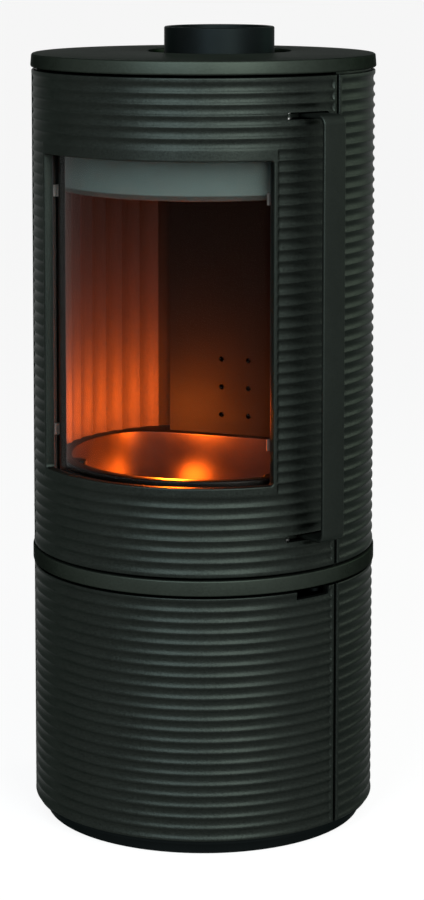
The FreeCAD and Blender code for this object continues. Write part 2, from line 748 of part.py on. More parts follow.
def make_air_valve():
    """The air control: a ported disc under the middle plate, turned by a lever behind the door's notch."""
    disc_top = mid_base - s.small_gap
    disc_base = disc_top - s.valve_thickness
    lever_top = disc_top - s.lever_drop
    lever_base = lever_top - s.lever_thickness
    head_top = lever_base - s.small_gap
    out = s.valve_pivot_out
    pin = disc(s.valve_pin_radius, head_top, mid_top, out=out)
    head = disc(s.valve_head_radius, head_top - s.valve_head_height, head_top, out=out)
    piece("valve_pivot", turned(fuse(pin, head), s.valve_angle))
    bore_radius = s.valve_pin_radius + s.running_clearance
    plate = disc(s.valve_radius, disc_base, disc_top, out=out)
    bore = disc(bore_radius, disc_base - s.overrun, disc_top + s.overrun, out=out)
    ports = port_ring(disc_base - s.overrun, disc_top + s.overrun)
    piece("air_valve_disc", turned(cut(plate, bore, *ports), s.valve_angle))
    length = inner_radius - s.lever_tip_gap - out - s.lever_half_width
    hub = disc(s.valve_head_radius, lever_base, disc_base)
    arm = block(-s.lever_half_width, s.lever_half_width, ZERO, length, lever_base, lever_top)
    tip = disc(s.lever_half_width, lever_base, lever_top, out=length)
    hole = disc(bore_radius, lever_base - s.overrun, disc_base + s.overrun)
    lever = cut(fuse(hub, arm, tip), hole)
    across = out * sine(s.valve_angle)
    along = -(out * cosine(s.valve_angle))
    piece("air_lever", turned(place(lever, across, along), s.valve_angle + s.lever_rest_angle))


def make_firebox():
    mouth = pie(s.shell_radius + s.overrun, mouth_base, mouth_top, -s.mouth_half_angle, s.mouth_half_angle)
    piece("firebox_shell", cut(ring(shell_inner, s.shell_radius, mid_top, shell_top), mouth))
    frame_half = s.mouth_half_angle + s.frame_width_angle
    frame = sector(s.shell_radius, frame_radius, mouth_base - s.frame_height, mouth_top + s.frame_height,
                   -frame_half, frame_half)
    opening = pie(frame_radius + s.overrun, mouth_base, mouth_top, -s.mouth_half_angle, s.mouth_half_angle)
    piece("firebox_frame", cut(frame, opening))
    flue_bore = disc(s.flue_radius - s.flue_wall, shell_top - s.overrun, top_face + s.flue_rise + s.overrun,
                     out=-s.flue_back)
    lid_top = shell_top + s.firebox_top_thickness
    piece("firebox_top", cut(disc(s.shell_radius, shell_top, lid_top), flue_bore))
    spigot = disc(s.flue_radius, lid_top, top_face + s.flue_rise, out=-s.flue_back)
    flange_top = lid_top + s.flue_flange
    flange = disc(s.flue_flange_radius, lid_top, flange_top, out=-s.flue_back)
    shanks = []
    bolts = []
    for step in range(4):
        angle = s.bolt_angle + 90 * step
        x = s.bolt_circle_radius * sine(angle)
        y = s.bolt_circle_radius * cosine(angle) - s.flue_back
        shanks.append(disc(s.bolt_radius, lid_top, flange_top + s.overrun, x, y))
        shank = disc(s.bolt_radius, lid_top, flange_top, x, y)
        head = add("Part::Prism", Circumradius=s.bolt_head_radius, Height=s.bolt_head_height)
        bolts.append(fuse(shank, place(head, x, -y, flange_top)))
    piece("flue_collar", cut(fuse(spigot, flange), flue_bore, *shanks))
    piece("collar_bolts", group(*bolts))
    side = s.wash_half_angle
    low = mouth_top - s.wash_drop
    inside = shell_inner - s.wash_thickness
    wash = sector(inside, shell_inner, low, mouth_top + s.wash_rise, -side, side)
    lip = sector(inside - s.wash_lip, shell_inner, low, low + s.wash_thickness, -side, side)
    piece("air_wash_plate", fuse(wash, lip))


def make_lining():
    outside = shell_inner - s.lining_gap
    inside = outside - s.lining_thickness
    step = (s.lining_end_angle - s.lining_start_angle) / s.lining_scallops
    names = ("side_lining_right", "side_lining_left")
    for name, (start, end) in zip(names, sides(s.lining_start_angle, s.lining_end_angle)):
        scallops = []
        for index in range(int(s.lining_scallops.value)):
            angle = start + step * (index + 0.5)
            out = inside + s.scallop_depth - s.scallop_radius
            low = rim_top - s.overrun
            scallops.append(polar_disc(s.scallop_radius, low, lining_top + s.overrun, out, angle))
        piece(name, cut(sector(inside, outside, rim_top, lining_top, start, end), *scallops))
    half = s.rear_lining_half_width
    back = s.rear_lining_back + s.rear_lining_thickness
    plate = block(-half, half, -back, -s.rear_lining_back, rim_top, lining_top)
    jets = []
    for row in range(int(s.jet_rows.value)):
        for across in (-s.jet_spread, s.jet_spread):
            jet = add("Part::Cylinder", Radius=s.jet_radius, Height=back + s.overrun)
            jet.Placement = Placement(Vector(), Rotation(Vector(1, 0, 0), -90))
            jets.append(place(jet, across, z=rim_top + s.jet_first + s.jet_step * row))
    piece("rear_lining", cut(plate, *jets))
    side = s.duct_half_width
    thin = s.sheet_thickness
    duct = block(-side, side, -back - s.duct_depth, -back, rim_top, lining_top)
    channel = block(-side + thin, side - thin, -back - s.duct_depth + thin, -back + s.overrun,
                    rim_top - s.overrun, lining_top + s.overrun)
    piece("rear_air_duct", cut(duct, channel))
    baffle_top = lining_top + s.baffle_thickness
    keep = block(-s.baffle_radius, s.baffle_radius, -s.baffle_radius, s.baffle_front, lining_top, baffle_top)
    piece("smoke_baffle", common(disc(s.baffle_radius, lining_top, baffle_top), keep))


def make_fire_bowl():
    """A deep bowl with a flat back, standing on a skirt, with a rim that carries the linings."""
    floor = rim_top - s.bowl_depth
    under = floor - s.bowl_wall
    wide = s.shell_radius
    front_of_back = block(-wide, wide, -s.bowl_back - s.bowl_wall, wide, mid_top, rim_base)
    outside = common(disc(s.bowl_radius + s.bowl_wall, mid_top, rim_base), front_of_back)
    rim = disc(shell_inner - s.rim_clearance, rim_base, rim_top)
    hollow_box = block(-wide, wide, -s.bowl_back, wide, floor, rim_top + s.overrun)
    lugs = []
    for angle in (s.bowl_lug_angle, -s.bowl_lug_angle):
        lugs.append(polar_disc(s.bowl_lug_radius, rim_base, rim_top, s.bowl_radius, angle))
    hollow = common(disc(s.bowl_radius, floor, rim_top + s.overrun), hollow_box)
    skirt_box = block(-wide, wide, -s.bowl_back, wide, mid_top - s.overrun, under)
    skirt = common(disc(s.bowl_radius, mid_top - s.overrun, under), skirt_box)
    grate_base = floor - s.grate_thickness
    throat = disc(s.grate_radius - s.grate_ledge, under - s.overrun, floor)
    seat = disc(s.grate_radius + s.small_gap, grate_base, floor + s.overrun)
    bowl = cut(fuse(outside, rim), hollow, skirt, throat, seat)
    piece("fire_bowl", fuse(bowl, *lugs))
    plate = disc(s.grate_radius, grate_base, floor)
    pitch = (s.grate_radius - s.grate_ledge) * 2 / s.grate_slots
    inner = disc(s.grate_radius - s.grate_ledge - s.grate_bar, grate_base - s.overrun, floor + s.overrun)
    slots = []
    for index in range(int(s.grate_slots.value)):
        middle = pitch * (as_size(index) - (s.grate_slots - 1) / 2)
        half = (pitch - s.grate_bar) / 2
        slots.append(block(middle - half, middle + half, -s.grate_radius, s.grate_radius,
                           grate_base - s.overrun, floor + s.overrun))
    piece("grate", cut(plate, common(inner, fuse(*slots))))


def make_upper_body():
    casing = casing_body(mid_top, upper_base, s.upper_height, s.upper_flutes)
    split_casing("upper", casing, mid_top, top_base)
    piece("upper_tie_rods", tie_rods(mid_top, top_base))
    plate = plate_body(plate_radius, top_base, top_face, s.top_draft)
    aperture = disc(s.top_aperture_radius, top_base - s.overrun, top_face + s.overrun, out=-s.flue_back)
    bore = hinge_bore(top_base - s.overrun, top_base + s.hinge_pin_reach + s.small_gap)
    piece("top_plate", cut(plate, aperture, bore))


def make_fire_door():
    first = first_flute(upper_base, s.upper_height, s.upper_flutes)
    body = door_body(upper_base, upper_top, first, s.upper_flutes)
    window = rectangle(inner_radius - s.overrun, s.body_radius + s.overrun, window_base, window_top)
    revolved(body, "PartDesign::Groove", ZERO, s.window_half_angle * 2, window)
    for level in (arm_low, arm_high):
        obround_pocket(body, level)
    margin = s.window_border + flute_half
    below = whole((window_base - margin - first) / s.flute_pitch) + 1
    through = whole((window_top + margin - first) / s.flute_pitch) + 1
    edge = s.door_half_angle - flute_edge_angle
    beside = s.window_half_angle + arc_angle(s.window_border + flute_half, s.body_radius)
    flutes(body, first, below, -edge, edge)
    for start, end in sides(beside, edge):
        flutes(body, first + below * s.flute_pitch, through - below, start, end)
    flutes(body, first + through * s.flute_pitch, s.upper_flutes - through, -edge, edge)
    piece("door_casting", hung(body, upper_base, upper_top))
    piece("fire_door_pins", hinge_pins(upper_base, upper_top))
    rope_start = s.mouth_half_angle + s.rope_inset_angle
    rope_end = s.mouth_half_angle + s.frame_width_angle - s.rope_inset_angle
    rope_inside = frame_radius + s.rope_gap
    rope_low = mouth_base - s.frame_height + s.rope_inset
    rope_high = mouth_top + s.frame_height - s.rope_inset
    rope = sector(rope_inside, seat_radius, rope_low, rope_high, -rope_end, rope_end)
    window_room = pie(inner_radius + s.overrun, mouth_base - s.rope_inset, mouth_top + s.rope_inset,
                      -rope_start, rope_start)
    piece("door_rope_seal", cut(rope, window_room))


def make_window():
    """The curved glass behind the window, its seal, and the clips and screws that hold it."""
    half = s.window_half_angle + s.glass_overlap_angle
    low = window_base - s.glass_overlap
    high = window_top + s.glass_overlap
    glass_face = seat_radius - s.glass_seal_thickness
    glass_back = glass_face - s.glass_thickness
    seal = sector(glass_face, seat_radius, low, high, -half, half)
    sight = pie(inner_radius + s.overrun, window_base, window_top, -s.window_half_angle, s.window_half_angle)
    piece("glass_seal", cut(seal, sight))
    piece("door_glass", sector(glass_back, glass_face, low, high, -half, half))
    clip_back = glass_back - s.clip_thickness
    foot_start = half + arc_angle(s.small_gap, glass_face)
    reach = s.window_height * s.clip_level_share
    clips = []
    heads = []
    for middle in (window_base + reach, window_top - reach):
        base = middle - s.clip_height / 2
        top = middle + s.clip_height / 2
        spans = zip(sides(s.clip_start_angle, s.clip_end_angle), sides(foot_start, s.clip_end_angle))
        for tongue_span, foot_span in spans:
            tongue = sector(clip_back, glass_back, base, top, *tongue_span)
            foot = sector(clip_back, seat_radius, base, top, *foot_span)
            clips.append(fuse(tongue, foot))
            heads.append(screw_head(clip_back - s.seat_gap, middle, (foot_span[0] + foot_span[1]) / 2))
    piece("glass_clips", group(*clips))
    piece("clip_screws", group(*heads))


def screw_head(out, level, angle):
    """A round screw head lying on the inside of a clip."""
    head = add("Part::Cylinder", Radius=s.screw_head_radius, Height=s.screw_head_height)
    head.Placement = Placement(Vector(), Rotation(Vector(1, 0, 0), 90))
    place(head, y=s.screw_head_height - out, z=level)
    return turned(group(head), angle)


def make_latch():
    """The handle turns a shaft behind the door; its hook reaches behind a keeper on the firebox."""
    across = shaft_out * sine(s.shaft_angle - s.handle_angle)
    along = shaft_out * cosine(s.shaft_angle - s.handle_angle)
    outer = s.body_radius + s.handle_reach
    bar_back = outer - s.handle_thickness
    half = s.handle_width / 2
    inside = along - s.eye_radius
    bend_outer = s.handle_bend + s.handle_thickness
    bend_out = outer - bend_outer
    strips = []
    eyes = []
    holes = []
    for level, side in ((arm_low, 1), (arm_high, -1)):
        low = level - s.handle_thickness / 2
        high = level + s.handle_thickness / 2
        strips.append(block(-half, half, inside, bend_out, low, high))
        strips.append(block(across, -half, inside, along + s.eye_radius, low, high))
        eyes.append(disc(s.eye_radius, low, high, across, along))
        holes.append(disc(s.shaft_radius, low - s.overrun, high + s.overrun, across, along))
        centre = (low if side > 0 else high) + bend_outer * side
        strips.append(handle_bend(bend_out, centre, side))
    bar_low = arm_low - s.handle_thickness / 2 + bend_outer
    bar_high = arm_high + s.handle_thickness / 2 - bend_outer
    strips.append(block(-half, half, bar_back, outer, bar_low, bar_high))
    piece("handle_bar", turned(cut(fuse(*strips, *eyes), *holes), s.handle_angle))
    shaft_base = arm_low - s.shaft_overhang
    shaft_end = arm_high + s.shaft_overhang
    piece("latch_shaft", polar_disc(s.shaft_radius, shaft_base, shaft_end, shaft_out, s.shaft_angle))
    bearings = []
    for middle in (arm_low + s.bearing_offset, arm_high - s.bearing_offset):
        low = middle - s.bearing_height / 2
        high = middle + s.bearing_height / 2
        side = s.bearing_half_width
        lump = block(-side, side, frame_radius + s.rope_gap, seat_radius, low, high)
        bore = disc(s.shaft_radius + s.running_clearance, low - s.overrun, high + s.overrun, out=shaft_out)
        round_back = disc(seat_radius, low, high)
        bearings.append(turned(cut(common(lump, round_back), bore), s.shaft_angle))
    piece("latch_bearings", group(*bearings))
    make_hook()


def handle_bend(out, centre, side):
    """A quarter round bend of the handle strip, between its arm and its bar."""
    parts = []
    for radius in (s.handle_bend + s.handle_thickness, s.handle_bend):
        quarter = add("Part::Cylinder", Radius=radius, Height=s.handle_width, Angle=FULL_TURN / 4)
        spin = Rotation(Vector(0, 1, 0), 90)
        lift = Rotation(Vector(1, 0, 0), 270 if side > 0 else 180)
        quarter.Placement = Placement(Vector(), lift.multiply(spin))
        parts.append(place(quarter, -(s.handle_width / 2), -out, centre))
    return cut(*parts)


def make_hook():
    low = hook_level - s.hook_height / 2
    high = hook_level + s.hook_height / 2
    keeper_out = s.shell_radius + s.keeper_standoff
    keeper_top = keeper_out + s.keeper_radius
    arm_inside = keeper_top + s.small_gap
    arm_outside = arm_inside + s.hook_thickness
    nose_start = s.keeper_angle + arc_angle(s.hook_play, keeper_out)
    nose_end = nose_start + arc_angle(s.hook_thickness, keeper_out)
    arm = sector(arm_inside, arm_outside, low, high, s.shaft_angle, nose_end)
    nose = sector(keeper_top - s.hook_bite, arm_outside, low, high, nose_start, nose_end)
    eye = polar_disc(s.eye_radius, low, high, shaft_out, s.shaft_angle)
    hole = polar_disc(s.shaft_radius, low - s.overrun, high + s.overrun, shaft_out, s.shaft_angle)
    piece("latch_hook", cut(fuse(arm, nose, eye), hole))
    ears = []
    room = s.keeper_gap / 2
    ear_out = keeper_top + s.keeper_radius / 2
    for base, top in ((hook_level - room - s.keeper_ear, hook_level - room),
                      (hook_level + room, hook_level + room + s.keeper_ear)):
        lump = block(-s.keeper_half_width, s.keeper_half_width, shell_inner, ear_out, base, top)
        trimmed = cut(lump, disc(s.shell_radius, base - s.overrun, top + s.overrun))
        hole = disc(s.keeper_radius, base - s.overrun, top + s.overrun, out=keeper_out)
        ears.append(turned(cut(trimmed, hole), s.keeper_angle))
    piece("keeper_bracket", group(*ears))
    reach = room + s.keeper_ear
    pin = polar_disc(s.keeper_radius, hook_level - reach, hook_level + reach, keeper_out, s.keeper_angle)
    piece("keeper_pin", pin)


make_base()
make_lower_body()
make_lower_door()
make_mid_plate()
make_air_valve()
make_firebox()
make_lining()
make_fire_bowl()
make_upper_body()
make_fire_door()
make_window()
make_latch()
doc.recompute()

for thing in doc.Objects:
    if "Invalid" in thing.State or "Error" in thing.State:
        raise RuntimeError(f"{thing.Label} did not build")
for thing in pieces:
    if thing.Shape.isNull() or not thing.Shape.isValid() or not thing.Shape.Solids:
        raise RuntimeError(f"{thing.Label} has no valid solid")

os.makedirs("parts", exist_ok=True)
for thing in pieces:
    thing.Shape.exportStep(f"parts/{thing.Label}.step")
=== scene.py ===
import json
import math

import bpy
import numpy as np
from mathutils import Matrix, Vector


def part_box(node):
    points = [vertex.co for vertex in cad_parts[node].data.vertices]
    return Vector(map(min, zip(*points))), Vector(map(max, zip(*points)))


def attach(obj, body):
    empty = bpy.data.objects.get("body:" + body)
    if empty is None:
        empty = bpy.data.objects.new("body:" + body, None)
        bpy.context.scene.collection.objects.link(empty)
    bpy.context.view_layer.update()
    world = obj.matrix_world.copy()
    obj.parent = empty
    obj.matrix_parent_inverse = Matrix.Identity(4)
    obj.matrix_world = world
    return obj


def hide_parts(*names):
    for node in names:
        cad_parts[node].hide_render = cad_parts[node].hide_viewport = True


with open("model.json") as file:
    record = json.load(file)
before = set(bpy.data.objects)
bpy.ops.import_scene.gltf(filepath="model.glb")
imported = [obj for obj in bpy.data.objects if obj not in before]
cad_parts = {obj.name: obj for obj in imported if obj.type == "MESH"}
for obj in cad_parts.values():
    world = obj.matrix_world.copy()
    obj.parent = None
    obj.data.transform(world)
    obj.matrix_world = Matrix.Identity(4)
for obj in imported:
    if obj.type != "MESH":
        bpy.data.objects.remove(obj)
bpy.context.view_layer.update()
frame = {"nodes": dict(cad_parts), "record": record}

# A round cast iron stove, in metres. Angles round the body are counted from the front, positive to the
# viewer's right, so a point at an angle lies at X = radius x sine and Y = -radius x cosine.

# Fluted castings
body_radius = 0.230
casting_wall = 0.011
inner_radius = body_radius - casting_wall
edge_round = 0.0016
edge_steps = edge_round * np.array([0.07, 0.28, 0.6, 1.0])
flute_pitch = 0.0143
flute_width = 0.0133
flute_depth = 0.0026
flute_edge = 0.011
flute_end = 0.0034
flute_arc = ((flute_width / 2) ** 2 + flute_depth ** 2) / (2 * flute_depth)
upper_flutes, lower_flutes = 44, 22
flutes_below, flutes_beside = 7, 31
door_half_angle = math.radians(69.0)
door_seam = 0.0055
casing_angle = door_half_angle + door_seam / body_radius
casing_sides = "right", "rear", "left"
panel_seam = 0.0012
lip_thickness = 0.005
lip_overlap = 0.001
window_half_angle = math.radians(43.8)
window_border = 0.005
window_corner = 0.004
glass_overlap = 0.004
slot_start, slot_end = math.radians(48.3), math.radians(65.4)
slot_height = 0.0094
notch_start, notch_end = math.radians(52.8), math.radians(66.5)
notch_depth = 0.011
hinge_angle = math.radians(-66.68)
boss_height = 0.024
boss_half_depth, boss_half_width = 0.005, 0.008

# Grid lines of the castings; a skin keeps shapes that are joined from sharing a face
door_step, casing_step, inner_step = 0.009, 0.011, 0.010
corner_reach, rim_reach = 0.02, 0.0055
line_gap, line_repeat = 0.0003, 0.00005
boss_points, lip_points = 32, 56
skin = 0.0002
tiny = 1e-9

# Plates and collar
mid_hole = 0.066
mid_hole_edge, mid_rim_edge = 0.001, 0.002
plate_edge, plate_foot_edge = 0.0028, 0.0008
plate_draft = 0.0015
plate_points, collar_points = 224, 128
aperture_radius = 0.0975
flue_back = 0.061
flue_bore = 0.069
spigot_radius = 0.075
flange_radius, flange_height = 0.093, 0.006
flange_edge, flange_rim_edge, spigot_foot, spigot_edge = 0.001, 0.002, 0.004, 0.0022

# Handle
handle_angle = math.radians(59.5)
handle_width = 0.036
handle_thickness = 0.005
handle_bend = 0.008
handle_reach = 0.037
handle_edge = 0.0016
shaft_out = 0.2125
shaft_turn = math.radians(8.3)
eye_radius = 0.006
eye_round = eye_radius * 0.98
arm_overlap = 0.004
arm_edge = 0.0005
arm_skin = 0.0001

# Fire bowl and linings
bowl_radius, bowl_back = 0.178, 0.112
bowl_wall = 0.008
bowl_depth = 0.092
bowl_blend = 8
bowl_points, lug_points = 240, 40
bowl_smooth_angle = 32.0
least_facing = 1e-6
floor_fillet = 0.022
rim_radius = 0.1965
rim_round = 0.0022
lug_radius = 0.014
lug_angle = math.radians(52.0)
lug_foot, lug_drop = 0.0004, 0.0003
lug_foot_edge, lug_rim_edge, lug_axis_edge = 0.001, 0.002, 1e-5
throat_radius, seat_radius = 0.057, 0.0624
grate_thickness = 0.005
lining_face, lining_back = 0.1907, 0.1967
lining_start, lining_end = math.radians(70.0), math.radians(139.6)
lining_smooth_angle = 25.0
scallop_count, scallop_steps = 8, 10
scallop_depth = 0.0042

# Seals and the air wash plate
braid_mean, braid_wave = 0.94, 0.06
braid_points = 20
braid_smooth_angle = 80.0
wash_face = 0.197
wash_bevel = 0.0065
wash_thickness = 0.003
wash_lip = 0.009
wash_half_angle = math.radians(48.0)
wash_edge, wash_bend, bevel_edge = 0.0008, 0.001, 0.0012
wash_points = 72


def level(node):
    """The lowest and the highest level of a CAD node."""
    low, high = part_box(node)
    return low.z, high.z


upper_base, upper_top = level("door_casting")
lower_base, lower_top = level("lower_door_casting")
casing_base = level("base_plate")[1]


# Surfaces

def polar(radius, angle, height):
    """Points at a radius, an angle from the front and a height: X = r sin a, Y = -r cos a, Z = height."""
    radius, angle, height = np.broadcast_arrays(radius, angle, height)
    return np.stack([radius * np.sin(angle), -radius * np.cos(angle), height], axis=-1)


def grid_quads(count_u, count_v, closed_u=False, closed_v=False):
    """Quads of a grid whose point (i, j) has number i x count_v + j; a closed way joins its ends."""
    i, j = np.meshgrid(np.arange(count_u - 1 + closed_u), np.arange(count_v - 1 + closed_v), indexing="ij")
    i_next, j_next = (i + 1) % count_u, (j + 1) % count_v
    corners = [i * count_v + j, i_next * count_v + j, i_next * count_v + j_next, i * count_v + j_next]
    return np.stack(corners, axis=-1).reshape(-1, 4)


def rounded(corners, radii, steps=6):
    """A closed outline whose corners are arcs: each arc's centre lies on the corner's bisector."""
    corners = np.asarray(corners, float)
    radii = np.broadcast_to(np.asarray(radii, float), len(corners))[:, None]
    before = np.roll(corners, 1, axis=0) - corners
    after = np.roll(corners, -1, axis=0) - corners
    before /= np.linalg.norm(before, axis=1, keepdims=True)
    after /= np.linalg.norm(after, axis=1, keepdims=True)
    half = np.arccos(np.clip((before * after).sum(1, keepdims=True), -1, 1)) / 2
    bisector = before + after
    bisector /= np.linalg.norm(bisector, axis=1, keepdims=True)
    centre = corners + bisector * radii / np.sin(half)
    first = corners + before * radii / np.tan(half) - centre
    turn = np.pi - 2 * half
    sign = np.sign(after[:, :1] * before[:, 1:] - after[:, 1:] * before[:, :1])
    angle = sign * turn * np.linspace(0, 1, steps)
    x = first[:, :1] * np.cos(angle) - first[:, 1:] * np.sin(angle)
    y = first[:, :1] * np.sin(angle) + first[:, 1:] * np.cos(angle)
    return np.stack([centre[:, :1] + x, centre[:, 1:] + y], axis=-1).reshape(-1, 2)


def linked(name, data):
    """A new object for some data, put into the scene."""
    thing = bpy.data.objects.new(name, data)
    bpy.context.scene.collection.objects.link(thing)
    return thing


def made(name, points, faces, slot, body, nodes, smooth_angle=40.0, finish=None):
    """A mesh piece with one finish, riding a body in place of CAD nodes; edges past an angle stay sharp."""
    mesh = bpy.data.meshes.new(name)
    mesh.from_pydata(np.asarray(points).reshape(-1, 3).tolist(), [], faces)
    mesh.validate()
    mesh.shade_smooth()
    mesh.set_sharp_from_angle(angle=math.radians(smooth_angle))
    mesh.materials.append(finishes[finish or slot])
    piece = linked(name, mesh)
    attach(piece, body)
    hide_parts(*nodes)


def joined(*shapes):
    """Several (points, faces) shapes as one, with the later faces renumbered."""
    points, faces, count = [], [], 0
    for shape_points, shape_faces in shapes:
        flat = np.asarray(shape_points).reshape(-1, 3)
        points.append(flat)
        faces += [[number + count for number in face] for face in shape_faces]
        count += len(flat)
    return np.concatenate(points), faces


def spun(profile, centre=(0.0, 0.0), count=192):
    """A ring: a closed (radius, height) outline, run anticlockwise, turned once round an upright axis."""
    profile = np.asarray(profile)
    angle = np.linspace(0, 2 * np.pi, count, endpoint=False)[:, None]
    points = polar(profile[None, :, 0], angle, profile[None, :, 1]) + np.array([*centre, 0.0])
    return points, grid_quads(count, len(profile), True, True).tolist()


def arc_bar(profile, start, end, count):
    """A curved bar: a closed (radius, height) outline carried from one angle to another, with flat ends.

    The outline may differ from angle to angle, as an array with one outline for each.
    """
    profile = np.asarray(profile)
    angle = np.linspace(start, end, count)[:, None]
    points = polar(profile[..., 0], angle, profile[..., 1])
    corners = profile.shape[-2]
    ring = np.arange(corners)
    faces = grid_quads(count, corners, False, True).tolist()
    return points, faces + [ring[::-1].tolist(), (ring + (count - 1) * corners).tolist()]


# Fluted castings

def flute_cut(across, height, rows):
    """How deep the flutes lie below the crests: a circle's arc over the distance to a flute's centre line.

    Each row group is (lowest level, number of flutes, start, end), where start and end are the centres of
    the round ends. The distance past an end is stretched and joined to the rise by a fourth-power mean,
    which squares the end up and leaves small round corners.
    """
    half = flute_width / 2
    deepest = np.zeros(np.broadcast(across, height).shape)
    for first, count, start, end in rows:
        number = np.clip(np.round((height - first) / flute_pitch), 0, count - 1)
        rise = height - first - number * flute_pitch
        outside = np.maximum(start - across, across - end)
        past = np.maximum(outside - half + flute_end, 0) * half / flute_end
        reach = (rise ** 4 + past ** 4) ** 0.25
        arc = np.sqrt(np.maximum(flute_arc ** 2 - reach ** 2, 0))
        deepest = np.maximum(deepest, arc - flute_arc + flute_depth)
    return deepest


def box_distance(across, height, opening):
    """Signed distance to a round-cornered rectangle, positive outside it."""
    left, right, base, top, corner = opening
    reach_x = np.abs(across - (left + right) / 2) - (right - left) / 2 + corner
    reach_z = np.abs(height - (base + top) / 2) - (top - base) / 2 + corner
    outside = np.hypot(np.maximum(reach_x, 0), np.maximum(reach_z, 0))
    return outside + np.minimum(np.maximum(reach_x, reach_z), 0) - corner


def round_corners(across, height, opening, blend=0.004):
    """Draw grid lines that meet at a square corner onto its arc.

    Squares about the arc's centre go to circles, and the change dies away over the blend.
    """
    left, right, base, top, corner = opening
    centre_x = np.clip(across, left + corner, right - corner)
    centre_z = np.clip(height, base + corner, top - corner)
    step_x, step_z = across - centre_x, height - centre_z
    square = np.maximum(np.abs(step_x), np.abs(step_z))
    length = np.hypot(step_x, step_z)
    share = np.clip(1 - (square - corner) / blend, 0, 1)
    stretch = np.where(length > 0, 1 + share * (square / np.maximum(length, tiny) - 1), 1)
    return centre_x + step_x * stretch, centre_z + step_z * stretch


def lines(stops, steps):
    """Grid lines from stop to stop, no farther apart than each stretch's step."""
    runs = [
        np.linspace(start, end, max(2, math.ceil((end - start) / step) + 1))[:-1]
        for start, end, step in zip(stops, stops[1:], steps)
    ]
    return np.append(np.concatenate(runs), stops[-1])


def merged(values, tolerance=0.00025):
    """Sorted values, leaving out any that almost repeat the one before."""
    values = np.sort(np.asarray(values))
    return values[np.append(True, np.diff(values) > tolerance)]


def spread(values, others, gap):
    """The values that keep more than a gap from all the others."""
    return values[np.abs(values[:, None] - others[None, :]).min(axis=1) > gap]


def rim_lines(stops, low, high):
    """Lines beside each stop that draw its rounded edge, as far as they lie between two ends."""
    rims = [stop + side * step for stop in stops for side in (-1, 1) for step in edge_steps]
    return np.array([value for value in rims if low < value < high])


def panel_lines(low, high, marks, coarse, fine=0.0009, near=0.017):
    """Lines across a panel: fine near its edges and near marks, with the marks kept, coarse between."""
    stops = merged([low, high, *marks])
    zones = merged([low, high, *marks, *(mark + side for mark in stops for side in (-near, near))])
    zones = zones[(zones >= low) & (zones <= high)]
    middle = (zones[1:] + zones[:-1]) / 2
    close = np.abs(middle[:, None] - stops[None, :]).min(axis=1) < near
    rims = rim_lines(stops, low, high)
    grid = spread(lines(zones, np.where(close, fine, coarse)), rims, fine / 3)
    kept = spread(np.concatenate([grid, rims]), stops, fine / 6)
    return np.sort(np.concatenate([kept, stops]))


def flute_lines(base, top, first, marks, count_per_flute=9):
    """Levels for a casting: the same few in every flute, the finer ones near its ends and at openings."""
    step = flute_pitch / count_per_flute
    number = math.floor((first - base) / step)
    grid = np.arange(first - number * step, top, step)
    stops = np.array([base, top, *marks])
    rims = rim_lines(stops, base, top)
    grid = spread(grid, np.concatenate([stops, rims]), line_gap)
    grid = grid[(grid > base) & (grid < top)]
    return np.sort(np.concatenate([grid, spread(rims, stops, line_repeat), stops]))


def coarse_numbers(values, marks):
    """Numbers of the lines kept for the inner face: evenly thinned, but all of them near an opening's rim."""
    marks = np.asarray([values[0], values[-1], *marks])
    near = np.abs(values[:, None] - marks[None, :]).min(axis=1) < rim_reach
    count = np.floor((values - values[0]) / inner_step)
    chosen = near | np.append(True, np.diff(count) > 0)
    chosen[-1] = True
    return np.flatnonzero(chosen)


def used_points(points, faces):
    """Drop points that no face uses."""
    numbers = np.unique(np.concatenate([np.asarray(face) for face in faces]))
    place = np.zeros(len(points), int)
    place[numbers] = np.arange(len(numbers))
    return points[numbers], [place[np.asarray(face)].tolist() for face in faces]


